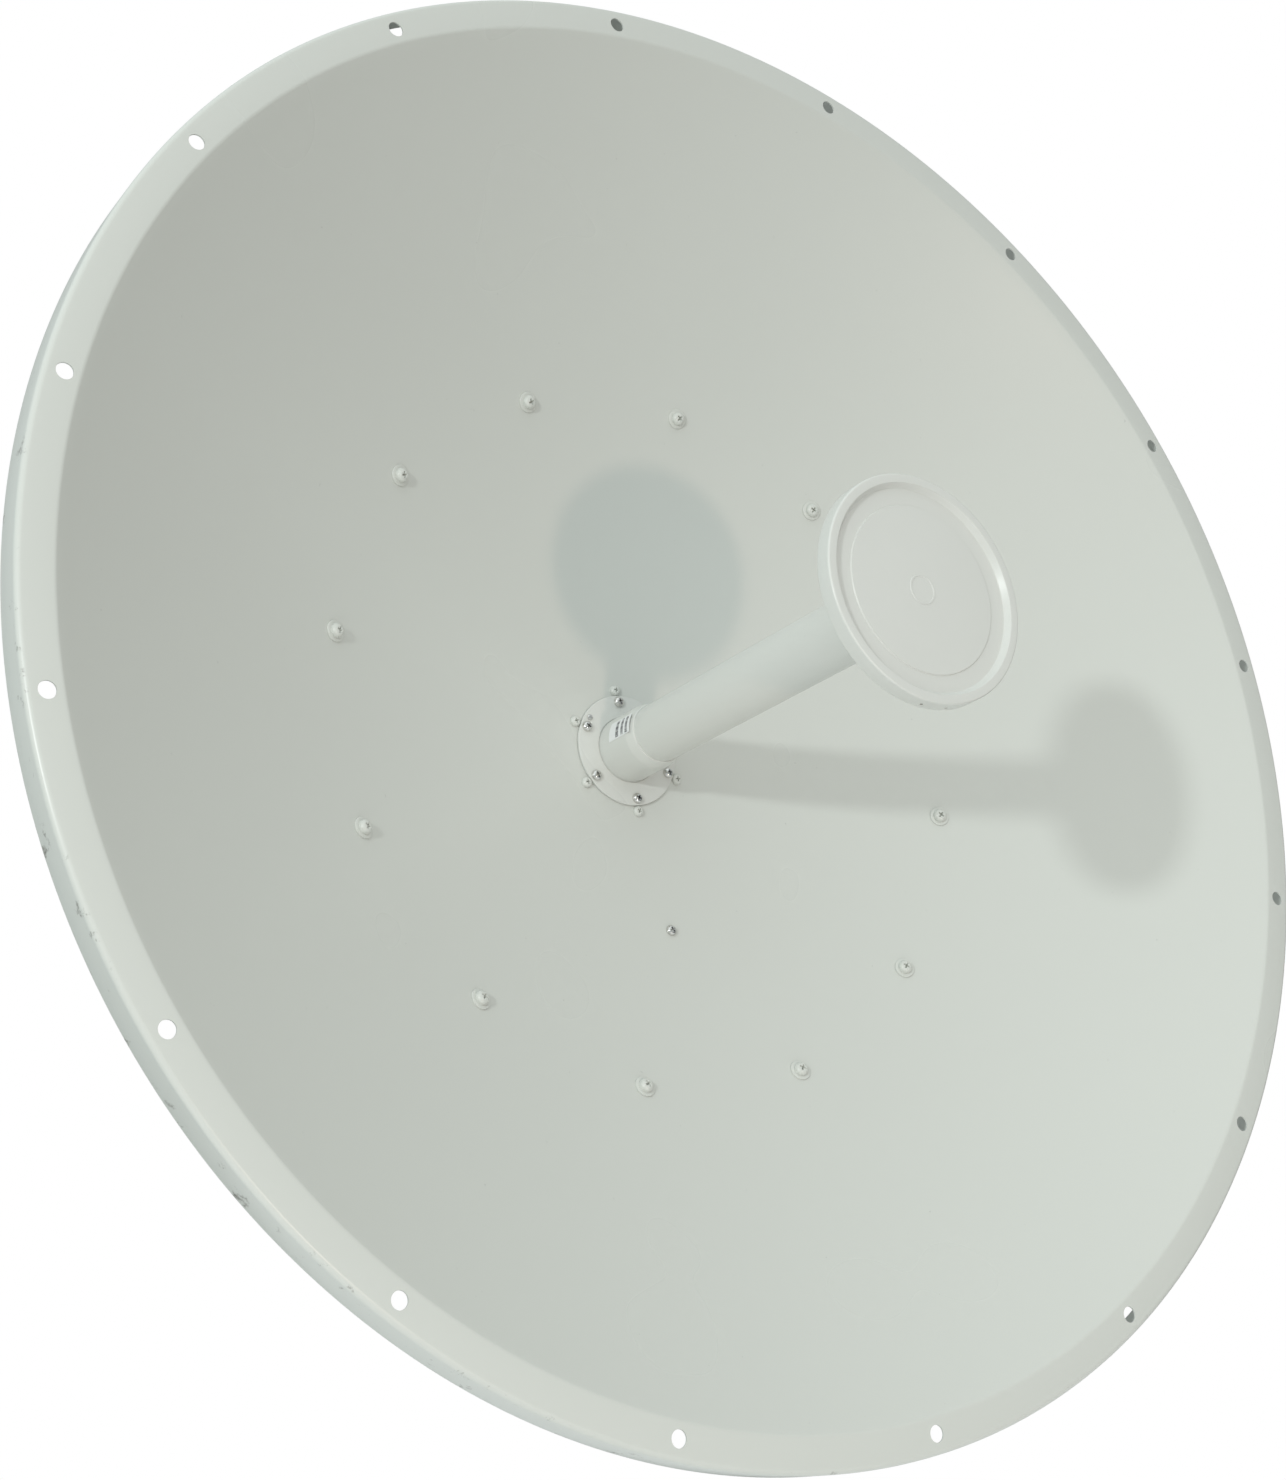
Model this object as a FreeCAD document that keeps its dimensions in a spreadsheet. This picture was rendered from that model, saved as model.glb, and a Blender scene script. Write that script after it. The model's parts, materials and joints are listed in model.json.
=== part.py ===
import FreeCAD, Part
import math
import os
import re

import Sketcher

# Parabolic dish antenna on a tilting pole mount, in millimetres.
#
# Frame of the whole model: the origin is on the pole's axis, midway between the two clamps.
# +Z is up along the pole, +X is to the right of someone facing the dish, and the dish looks along -Y.
# Pieces of the dish are drawn in a frame whose y is the depth behind the rim's front plane.
# "Clock" is an angle about the dish's axis, clockwise from the top as seen from the front.

SIZES = {
    # reflector
    "dish_dia": (1050, "over the rim"),
    "bowl_depth": (178, "rim plane to vertex"),
    "rim_width": (23.5, "flat rim, bowl edge to outside"),
    "rim_skirt": (25.5, "skirt turned back at the rim"),
    "rim_corner": (4, "outer radius of the rim's front corner"),
    "rim_bend": (5, "front radius between bowl and rim"),
    "sheet_thick": (1.2, "reflector sheet"),
    "rim_hole_dia": (11, "radome holes in the rim"),
    "rim_hole_inset": (13.3, "radome hole centre from the outside"),
    "rim_hole_count": (16, "radome holes"),
    "rim_hole_clock": (-1.1, "clock of the first radome hole"),
    "seat_radius": (52, "flat seat for the feed at the vertex"),
    # stiffening ring behind the reflector
    "ring_pcd": (534, "screw circle of the stiffening ring"),
    "ring_count": (12, "ring screws"),
    "ring_clock": (16.2, "clock of the first ring screw"),
    "ring_flange": (28, "width of the flange against the bowl"),
    "ring_thick": (1.6, "ring sheet"),
    "ring_face_depth": (190, "front of the ring's flat back face"),
    "ring_outer_radius": (236, "outside of the flat back face"),
    "ring_inner_radius": (165, "inside of the flat back face"),
    "ring_lip": (12, "lip turned forward at the inner edge"),
    "ring_bend": (6, "outer bend radius"),
    "seam_gap": (0.15, "paint and sealant between pressings"),
    # ring screws, M5
    "ring_screw_dia": (5, "M5"),
    "ring_head_dia": (10.4, "pan head"),
    "ring_head_tall": (3.2, "pan head"),
    "ring_washer_dia": (15.4, "wide washer"),
    "ring_washer_thick": (1.2, "wide washer"),
    "ring_screw_long": (14, "under the head"),
    "ring_nut_flats": (8, "M5 nut"),
    "ring_nut_tall": (4, "M5 nut"),
    # feed hub behind the reflector
    "hub_dia": (108, "cast hub"),
    "hub_thick": (12, "cast hub"),
    "hub_screw_pcd": (95.2, "painted screws that hold the hub"),
    "feed_screw_pcd": (76, "bright screws that hold the feed"),
    "hub_screw_count": (6, "of each kind"),
    "small_screw_dia": (4, "M4"),
    "small_head_dia": (8.2, "M4 pan head"),
    "small_head_tall": (2.4, "M4 pan head"),
    "small_screw_long": (12, "under the head"),
    "locating_radius": (38.9, "slotted locating screw"),
    "locating_clock": (312.5, "slotted locating screw"),
    "locating_dia": (2.8, "slotted locating screw"),
    "locating_head_dia": (4.8, "slotted locating screw"),
    # feed
    "gasket_thick": (0.4, "flat gasket under the feed flange"),
    "flange_dia": (86.4, "feed flange"),
    "flange_thick": (2, "feed flange"),
    "collar_dia": (50, "collar around the tube's foot"),
    "collar_front": (131, "depth of the collar's front end"),
    "collar_chamfer": (2, "collar's front edge"),
    "tube_dia": (44, "feed tube"),
    "tube_wall": (1.8, "feed tube"),
    "tube_socket": (172, "depth of the shoulder under the tube"),
    "guide_dia": (40, "waveguide inside the tube"),
    "guide_wall": (1.3, "waveguide inside the tube"),
    "guide_front": (118, "front end of the waveguide, ahead of the rim plane"),
    "slip_gap": (0.05, "radial gap of slip fits"),
    "hole_gap": (0.25, "radial gap of screw holes"),
    # feed cap
    "cap_dia": (156, "feed cap"),
    "cap_front": (171, "front of the cap, ahead of the rim plane"),
    "cap_tall": (12, "side wall of the cap"),
    "cap_wall": (2, "cap moulding"),
    "cap_ring": (6, "width of the raised outer ring"),
    "cap_recess": (3.5, "floor below the raised ring"),
    "cap_step_dia": (114.4, "step on the floor"),
    "cap_step": (0.4, "step on the floor"),
    "cap_neck": (9, "neck of the back shell around the tube"),
    "drain_dia": (2.4, "drain holes in the side wall"),
    "drain_spread": (15, "clock angle between the two drain holes"),
    "plate_dia": (141, "splash plate"),
    "plate_thick": (1.5, "splash plate"),
    "plug_nose": (14, "taper of the dielectric plug in the waveguide"),
    "plug_seat": (30, "length of the plug in the waveguide"),
    # label on the collar
    "label_clock": (293, "middle of the label"),
    "label_span": (36, "angle the label covers"),
    "label_front": (133, "depth of the label's front edge"),
    "label_long": (27.5, "label"),
    "label_thick": (0.15, "label"),
    # waveguide to coax transition behind the hub
    "transition_dia": (48, "transition body"),
    "transition_long": (50, "transition body"),
    "transition_flange_dia": (72, "transition flange"),
    "transition_flange_thick": (4, "transition flange"),
    "transition_screw_pcd": (62, "M3 screws"),
    "transition_screw_count": (4, "M3 screws"),
    "transition_screw_dia": (3, "M3"),
    "end_wall": (3, "closed end of the transition"),
    "guide_lap": (6, "waveguide inside the transition"),
    "boss_radius": (6.5, "bosses under the coax jacks"),
    "boss_height": (27, "boss face from the axis"),
    "upright_jack": (19, "upright jack, behind the hub"),
    "level_jack": (34, "level jack, behind the hub"),
    "jack_thread_dia": (6.35, "quarter-inch thread"),
    "jack_flats": (8, "hexagon of the jack"),
    "jack_hex_thick": (2, "hexagon of the jack"),
    "jack_thread_long": (9, "threaded end of the jack"),
    "jack_bore_dia": (4.1, "insulator in the jack"),
    "probe_dia": (1.3, "probe pin"),
    "probe_depth": (9, "probe pin inside the waveguide"),
    # radio bracket
    "bracket_wide": (60, "radio bracket"),
    "bracket_thick": (1.5, "radio bracket"),
    "bracket_back": (208, "depth of the bracket's front face"),
    "bracket_screw_radius": (142.2, "single screw below the hub"),
    "bracket_foot": (10, "foot each side of the single screw"),
    "radio_hole_dia": (5.5, "holes for the radio"),
    "radio_hole_gap": (40, "between the holes for the radio"),
    "radio_level": (92, "middle of the radio's holes, below the axis"),
    "head_gap": (0.06, "paint under a screw head or washer on the bowl"),
    "small_nut_flats": (7, "M4 nut"),
    "hub_tap_clock": (30, "hub screws of the bracket, each side of straight down"),
    "hub_tap_radius": (48, "hub screws of the bracket"),
    # arms of the tilting mount
    "rim_to_pole": (430, "rim plane to pole axis"),
    "pivot_to_pole": (138, "tilt axis to pole axis"),
    "arm_inside": (60, "inner face of each arm from the middle"),
    "arm_flange": (40, "arm flange"),
    "arm_thick": (4, "arm plate"),
    "arm_tall": (450, "arm"),
    "arm_bend": (6, "outer bend radius"),
    "arm_bolt_across": (84, "bolts to the ring, from the middle"),
    "arm_bolt_low": (165, "nearer bolt pair, above and below the middle"),
    "arm_bolt_high": (200, "further bolt pair"),
    "arm_bolt_dia": (8, "M8"),
    "ear_rear": (30, "arm behind the tilt axis"),
    "ear_top": (86, "arm above the tilt axis at its rear edge"),
    "ear_bottom": (34, "arm below the tilt axis at its rear edge"),
    # pivots and locks, all M10
    "pivot_dia": (10, "M10"),
    "head_flats": (16, "M10 head and nut"),
    "head_tall": (6.4, "M10 head"),
    "nut_tall": (8, "M10 nut"),
    "washer_dia": (20, "M10 washer"),
    "washer_thick": (2, "M10 washer"),
    "slot_gap": (0.5, "each side of a bolt in its slot"),
    "side_gap": (0.3, "between plates that turn on each other"),
    "tilt_slot_radius": (62, "tilt slot"),
    "tilt_range": (25, "tilt each way"),
    "turn_slot_radius": (40, "turn slot"),
    "turn_range": (15, "turn each way"),
    # yoke between arms and pole bracket
    "yoke_thick": (4, "yoke plate"),
    "yoke_bend": (6, "outer bend radius"),
    "yoke_tall": (200, "over the yoke's flanges"),
    "yoke_web_gap": (30, "tilt axis to the yoke's web"),
    "yoke_front": (24, "yoke ahead of the tilt axis"),
    "yoke_top": (82, "cheek above the tilt axis"),
    "yoke_bottom": (30, "cheek below the tilt axis"),
    "yoke_flange_wide": (104, "yoke's flanges"),
    "turn_to_pole": (80, "turn axis to pole axis"),
    # pole bracket and clamps
    "plate_thick_heavy": (5, "pole bracket plate"),
    "pole_dia": (60.3, "pole"),
    "web_to_pole": (37.5, "back of the bracket's web to pole axis"),
    "bracket_half_wide": (60, "pole bracket"),
    "bracket_reach": (16, "bracket flange ahead of the turn axis"),
    "heavy_bend": (8, "outer bend radius"),
    "clamp_level": (68, "clamps above and below the middle"),
    "clamp_tall": (40, "height of a clamp"),
    "clamp_bolt_across": (47, "clamp bolts from the middle"),
    "clamp_gap": (6, "jaw edge to pole axis"),
    "jaw_wall": (9, "jaw metal behind the pole"),
    "jaw_wing": (16, "jaw metal under the nuts"),
    "jaw_travel": (20, "jaw opening"),
    "bolt_spare": (3, "bolt past the nut"),
    "pivot_gap": (0.1, "radial running gap of the two pivots"),
    "window_dia": (44, "cable window in the webs"),
    "access_dia": (30, "holes in the arms, in line with the level jack"),
    "arm_head_flats": (13, "M8 head and nut"),
    "arm_head_tall": (5.3, "M8 head"),
    "arm_nut_tall": (6.5, "M8 nut"),
    "arm_washer_dia": (16, "M8 washer"),
    "arm_washer_thick": (1.6, "M8 washer"),
    "trim_over": (10, "how far a trimming cut runs past the plate"),
    "arm_foot": (10, "straight foot of the ear, from the arm's bend"),
    "arm_shoulder": (20, "full-height part of the ear, from the arm's end"),
    "ear_neck": (28, "start of the ear's level edges, ahead of the tilt axis"),
    "ear_corner": (14, "upright part of the ear's rear corners"),
    "flange_corner": (16, "arm flange's rounded corners"),
    "yoke_rear": (29, "yoke flange behind the turn axis"),
    "yoke_nose": (24, "half width of the yoke flange's rear edge"),
    "yoke_shoulder": (16, "yoke flange's full width, behind the turn axis"),
    "bracket_corner": (22, "pole bracket's rounded front corners"),
}

DERIVED = {
    "rim_radius": "dish_dia / 2",
    "edge_radius": "rim_radius - rim_width",
    "edge_slope": "2 * bowl_depth / edge_radius",
    "front_4f": "edge_radius ^ 2 / bowl_depth",
    "rear_4f": "edge_radius ^ 2 / (bowl_depth + sheet_thick - sheet_thick * sqrt(1 + edge_slope ^ 2))",
    "seat_depth": "bowl_depth - seat_radius ^ 2 / front_4f",
    "seat_back": "seat_depth + sheet_thick",
    "hub_back": "seat_back + hub_thick",
    "spigot_radius": "collar_dia / 2",
    "flange_back": "seat_depth - gasket_thick",
    "flange_front": "flange_back - flange_thick",
    "tube_radius": "tube_dia / 2",
    "guide_radius": "guide_dia / 2",
    "guide_bore": "guide_radius - guide_wall",
    "cap_radius": "cap_dia / 2",
    "cap_floor": "cap_recess - cap_front",
    "cap_inside": "cap_floor + cap_wall",
    "cap_back": "cap_tall - cap_front",
    "plate_front": "cap_inside + 0.3",
    "ring_radius": "ring_pcd / 2",
    "ring_depth": "bowl_depth - ring_radius ^ 2 / front_4f",
    "ring_slope": "atan(2 * ring_radius / front_4f)",
    "ring_back": "ring_face_depth + ring_thick",
    "foot_depth": "bowl_depth - bracket_screw_radius ^ 2 / front_4f",
    "foot_slope": "atan(2 * bracket_screw_radius / front_4f)",
    "arm_reach": "rim_to_pole - ring_back - pivot_to_pole",
    "yoke_outside": "arm_inside - side_gap",
    "turn_back": "pivot_to_pole - turn_to_pole",
    "bracket_inside": "yoke_tall / 2 + side_gap",
    "web_front": "-web_to_pole - plate_thick_heavy",
    "jaw_nut_face": "clamp_gap + jaw_wing",
    "arm_outside": "arm_inside + arm_thick",
    "arm_end": "arm_tall / 2",
    "tilt_head": "arm_outside + side_gap + washer_thick",
    "tilt_nut": "yoke_outside - yoke_thick",
    "yoke_end": "yoke_tall / 2",
    "yoke_web_back": "yoke_web_gap + yoke_thick",
    "bracket_end": "bracket_inside + plate_thick_heavy",
    "turn_nut": "yoke_end - yoke_thick - side_gap - washer_thick",
}

WORD = re.compile(r"[a-z][a-z_0-9]*")

doc = FreeCAD.newDocument("dish_antenna")
sheet = doc.addObject("Spreadsheet::Sheet", "sizes")
for row, (alias, (number, meaning)) in enumerate(SIZES.items(), start=1):
    sheet.set(f"A{row}", meaning)
    sheet.set(f"B{row}", str(number))
    sheet.setAlias(f"B{row}", alias)
doc.recompute()

subparts = []


# ---------------------------------------------------------------- formulas

def formula(text):
    """The text as an expression: derived names written out, sizes pointed at the sheet."""
    def swap(match):
        word = match.group(0)
        if word in DERIVED:
            return "(" + formula(DERIVED[word]) + ")"
        if word in SIZES:
            return "sizes." + word
        return word
    return WORD.sub(swap, str(text))


def value(text):
    """What a formula comes to, as a plain number."""
    return float(sheet.evalExpression(formula(text)))


def on_normal(depth, radius, slope):
    """Places beside a surface point of the bowl: `out` along its front normal, `side` up the slope."""
    def place(out, side, rounding=None):
        spot = (f"{depth} - ({out}) * cos({slope}) - ({side}) * sin({slope})",
                f"{radius} - ({out}) * sin({slope}) + ({side}) * cos({slope})")
        return spot if rounding is None else spot + (rounding,)
    return place


# ---------------------------------------------------------------- sketches

def new_body(label, **shift):
    """A sub-part's body. `shift` gives formulas for the x, y or z of its placement."""
    body = doc.addObject("PartDesign::Body", label)
    body.Label = label
    body.AllowCompound = True
    body.Placement = FreeCAD.Placement()
    for axis, text in shift.items():
        body.setExpression(f"Placement.Base.{axis}", formula(text))
    subparts.append(body)
    return body


def origin_feature(body, role):
    return next(item for item in body.Origin.OriginFeatures if item.Role == role)


def new_sketch(body, name, plane, offset=None, clock=None):
    """A sketch on an origin plane. XY: (x, y). XZ: (x, z), offset towards -y. YZ: (y, z).

    `clock` turns a YZ sketch about the y axis, so that its second axis points at that clock angle.
    """
    item = body.newObject("Sketcher::SketchObject", f"{body.Label}_{name}")
    item.AttachmentSupport = [(origin_feature(body, plane + "_Plane"), "")]
    item.MapMode = "FlatFace"
    if clock is not None:
        turn = FreeCAD.Rotation(FreeCAD.Vector(1, 0, 0), value(clock))
        item.AttachmentOffset = FreeCAD.Placement(FreeCAD.Vector(), turn)
        item.setExpression("AttachmentOffset.Rotation.Angle", formula(clock))
    if offset is not None:
        item.setExpression("AttachmentOffset.Base.z", formula(offset))
    return item


def fix(item, kind, geometry, point, text):
    """Hold one coordinate of a point at a formula."""
    constraint = Sketcher.Constraint(kind, -1, 1, geometry, point, value(text))
    item.setExpression(f"Constraints[{item.addConstraint(constraint)}]", formula(text))


def fix_spot(item, geometry, point, across, up):
    fix(item, "DistanceX", geometry, point, across)
    fix(item, "DistanceY", geometry, point, up)


def outline(item, corners):
    """A closed outline through corners (across, up) or (across, up, rounding radius)."""
    count = len(corners)
    spots = [FreeCAD.Vector(value(corner[0]), value(corner[1]), 0) for corner in corners]
    starts = list(spots)
    ends = list(spots)
    arcs = {}
    for index, corner in enumerate(corners):
        if len(corner) < 3:
            continue
        radius = value(corner[2])
        here = spots[index]
        before = (spots[index - 1] - here).normalize()
        after = (spots[(index + 1) % count] - here).normalize()
        half = before.getAngle(after) / 2
        ends[index] = here + before * (radius / math.tan(half))
        starts[index] = here + after * (radius / math.tan(half))
        centre = here + (before + after).normalize() * (radius / math.sin(half))
        left_turn = before.cross(after).z < 0
        arcs[index] = (centre, radius, left_turn)

    first = item.GeometryCount
    for index in range(count):
        item.addGeometry(Part.LineSegment(starts[index], ends[(index + 1) % count]), False)
    for index, corner in enumerate(corners):
        line_in = first + (index - 1) % count
        line_out = first + index
        if index not in arcs:
            item.addConstraint(Sketcher.Constraint("Coincident", line_in, 2, line_out, 1))
            fix_spot(item, line_out, 1, corner[0], corner[1])
            continue
        centre, radius, left_turn = arcs[index]
        begin, finish = (ends[index], starts[index]) if left_turn else (starts[index], ends[index])
        circle = Part.Circle(centre, FreeCAD.Vector(0, 0, 1), radius)
        arc_geometry = Part.ArcOfCircle(circle, circle.parameter(begin), circle.parameter(finish))
        arc = item.addGeometry(arc_geometry, False)
        corner_point = item.addGeometry(Part.Point(spots[index]), True)
        fix_spot(item, corner_point, 1, corner[0], corner[1])
        item.addConstraint(Sketcher.Constraint("PointOnObject", corner_point, 1, line_in))
        item.addConstraint(Sketcher.Constraint("PointOnObject", corner_point, 1, line_out))
        in_end, out_end = (1, 2) if left_turn else (2, 1)
        item.addConstraint(Sketcher.Constraint("Tangent", line_in, 2, arc, in_end))
        item.addConstraint(Sketcher.Constraint("Tangent", line_out, 1, arc, out_end))
        held = item.addConstraint(Sketcher.Constraint("Radius", arc, radius))
        item.setExpression(f"Constraints[{held}]", formula(corner[2]))



def circle(item, across, up, diameter):
    centre = FreeCAD.Vector(value(across), value(up), 0)
    ring = item.addGeometry(Part.Circle(centre, FreeCAD.Vector(0, 0, 1), value(diameter) / 2), False)
    fix_spot(item, ring, 3, across, up)
    held = item.addConstraint(Sketcher.Constraint("Diameter", ring, value(diameter)))
    item.setExpression(f"Constraints[{held}]", formula(diameter))


def hexagon(item, across, up, flats):
    corner = f"({flats}) / sqrt(3)"
    outline(item, [(f"{across} + {corner} * cos({turn})", f"{up} + {corner} * sin({turn})")
                   for turn in range(0, 360, 60)])


def arc_slot(item, centre, radius, middle, half, width):
    """A slot curved about a centre (across, up); its middle points at `middle` degrees, 0, 90 or 180."""
    hub = FreeCAD.Vector(value(centre[0]), value(centre[1]), 0)
    reach, spread, half_width = value(radius), math.radians(value(half)), value(width) / 2
    aim = math.radians(middle)

    def arc(middle_point, size, begin, finish):
        ring = Part.Circle(middle_point, FreeCAD.Vector(0, 0, 1), size)
        return item.addGeometry(Part.ArcOfCircle(ring, begin, finish), False)

    def end_point(angle):
        return hub + FreeCAD.Vector(reach * math.cos(angle), reach * math.sin(angle), 0)

    outer = arc(hub, reach + half_width, aim - spread, aim + spread)
    inner = arc(hub, reach - half_width, aim - spread, aim + spread)
    far = arc(end_point(aim + spread), half_width, aim + spread, aim + spread + math.pi)
    near = arc(end_point(aim - spread), half_width, aim - spread + math.pi, aim - spread + 2 * math.pi)
    for side, sign in ((outer, "+"), (inner, "-")):
        fix_spot(item, side, 3, centre[0], centre[1])
        held = item.addConstraint(Sketcher.Constraint("Radius", side, reach + float(sign + "1") * half_width))
        item.setExpression(f"Constraints[{held}]", formula(f"{radius} {sign} ({width}) / 2"))
    item.addConstraint(Sketcher.Constraint("Tangent", outer, 2, far, 1))
    item.addConstraint(Sketcher.Constraint("Tangent", inner, 2, far, 2))
    item.addConstraint(Sketcher.Constraint("Tangent", inner, 1, near, 1))
    item.addConstraint(Sketcher.Constraint("Tangent", outer, 1, near, 2))
    for cap, sign in ((far, "+"), (near, "-")):
        if middle == 90:
            fix(item, "DistanceX", cap, 3, f"{centre[0]} + {radius} * cos({middle} {sign} {half})")
        else:
            fix(item, "DistanceY", cap, 3, f"{centre[1]} + {radius} * sin({middle} {sign} {half})")


# ---------------------------------------------------------------- features

def feature(body, kind, name, profile):
    item = body.newObject("PartDesign::" + kind, f"{body.Label}_{name}")
    item.Profile = profile
    body.Tip = item
    return item


def pad(body, name, profile, length, both=False, back=False):
    item = feature(body, "Pad", name, profile)
    item.setExpression("Length", formula(length))
    item.Midplane = both
    item.Reversed = back
    doc.recompute()
    return item


def must_shrink(body, name, before):
    """A cut that misses its solid shows no error, so the volume is compared."""
    if not body.Shape.Volume < before - 1e-6:
        raise RuntimeError(f"{body.Label}: {name} cut nothing")


def cut(body, name, profile, length=None, back=False):
    """A pocket: right through both ways, or `length` deep, along the sketch's normal if `back`."""
    before = body.Shape.Volume
    item = feature(body, "Pocket", name, profile)
    if length is None:
        item.Type = "ThroughAll"
        item.Midplane = True
    else:
        item.setExpression("Length", formula(length))
        item.Reversed = back
    doc.recompute()
    must_shrink(body, name, before)
    return item


def revolve(body, name, profile, axis="H_Axis"):
    item = feature(body, "Revolution", name, profile)
    item.ReferenceAxis = (profile, [axis])
    item.Angle = 360
    doc.recompute()
    return item


def groove(body, name, profile, axis="H_Axis"):
    before = body.Shape.Volume
    item = feature(body, "Groove", name, profile)
    item.ReferenceAxis = (profile, [axis])
    item.Angle = 360
    doc.recompute()
    must_shrink(body, name, before)
    return item


def polar(body, name, originals, count):
    """Repeat features evenly about the body's y axis."""
    item = body.newObject("PartDesign::PolarPattern", f"{body.Label}_{name}")
    item.Originals = originals
    item.Axis = (origin_feature(body, "Y_Axis"), [""])
    item.Angle = 360
    item.setExpression("Occurrences", formula(count))
    body.Tip = item
    doc.recompute()
    return item


def mirror(body, name, originals, *planes):
    """Repeat features across one or more origin planes."""
    item = body.newObject("PartDesign::MultiTransform", f"{body.Label}_{name}")
    item.Originals = originals
    steps = []
    for plane in planes:
        step = body.newObject("PartDesign::Mirrored", f"{body.Label}_{name}_{plane}")
        step.MirrorPlane = (origin_feature(body, plane + "_Plane"), [""])
        steps.append(step)
    item.Transformations = steps
    body.Tip = item
    doc.recompute()
    return item


def dish_body(label, clock=None):
    """A body drawn in the dish's frame: y is the depth behind the rim plane."""
    body = new_body(label, y="-rim_to_pole")
    if clock is not None:
        body.Placement.Rotation = FreeCAD.Rotation(FreeCAD.Vector(0, 1, 0), value(clock))
        body.setExpression("Placement.Rotation.Angle", formula(clock))
    return body


def ring_of_holes(body, name, radius, diameter, count, clock="0"):
    """Round holes along the dish's axis."""
    item = new_sketch(body, name + "_sketch", "XZ")
    circle(item, f"({radius}) * sin({clock})", f"({radius}) * cos({clock})", diameter)
    first = cut(body, name, item)
    if value(count) > 1:
        polar(body, name + "s", [first], count)


def screw_axis(item, place):
    """The sketch's first construction line, which a turned piece spins about."""
    ends = [FreeCAD.Vector(value(across), value(up), 0) for across, up in (place(0, 0), place(1, 0))]
    line = item.addGeometry(Part.LineSegment(*ends), True)
    fix_spot(item, line, 1, *place(0, 0))
    fix_spot(item, line, 2, *place(1, 0))


def pan_screws(label, place, clock, count, head_dia, head_tall, shank_dia, long, drive):
    """Pan-head screws on a circle: each seats at out = 0 of `place`, with a drive recess."""
    body = dish_body(label, clock)
    item = new_sketch(body, "section", "YZ")
    screw_axis(item, place)
    outline(item, [place(f"({head_tall}) - ({drive})", 0),
                   place(head_tall, drive),
                   place(head_tall, f"{head_dia} / 2", f"{head_tall} * 0.6"),
                   place(0, f"{head_dia} / 2"),
                   place(0, f"({shank_dia}) / 2"),
                   place(f"-({long})", f"({shank_dia}) / 2"),
                   place(f"-({long})", 0)])
    turned = revolve(body, "turned", item, "Axis0")
    if value(count) > 1:
        polar(body, "set", [turned], count)
    return body


# ---------------------------------------------------------------- reflector

def parabola(item, vertex_depth, four_f, low_radius, high_radius):
    """An arc of a parabola that opens towards -y, as a quadratic spline.

    Its middle pole is where the tangents at its two ends meet, so the arc is exact.
    """
    low, high = f"({low_radius})", f"({high_radius})"
    poles = [(f"{vertex_depth} - {low} * {low} / ({four_f})", low),
             (f"{vertex_depth} - {low} * {high} / ({four_f})", f"({low} + {high}) / 2"),
             (f"{vertex_depth} - {high} * {high} / ({four_f})", high)]
    curve = Part.BSplineCurve()
    curve.buildFromPolesMultsKnots(
        [FreeCAD.Vector(value(across), value(up), 0) for across, up in poles], [3, 3], [0, 1], False, 2)
    arc = item.addGeometry(curve, False)
    item.exposeInternalGeometry(arc)
    for number, (across, up) in enumerate(poles, start=1):
        fix_spot(item, arc + number, 3, across, up)
    return arc


def straight(item, begin, finish):
    ends = [FreeCAD.Vector(value(across), value(up), 0) for across, up in (begin, finish)]
    return item.addGeometry(Part.LineSegment(*ends), False)


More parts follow.
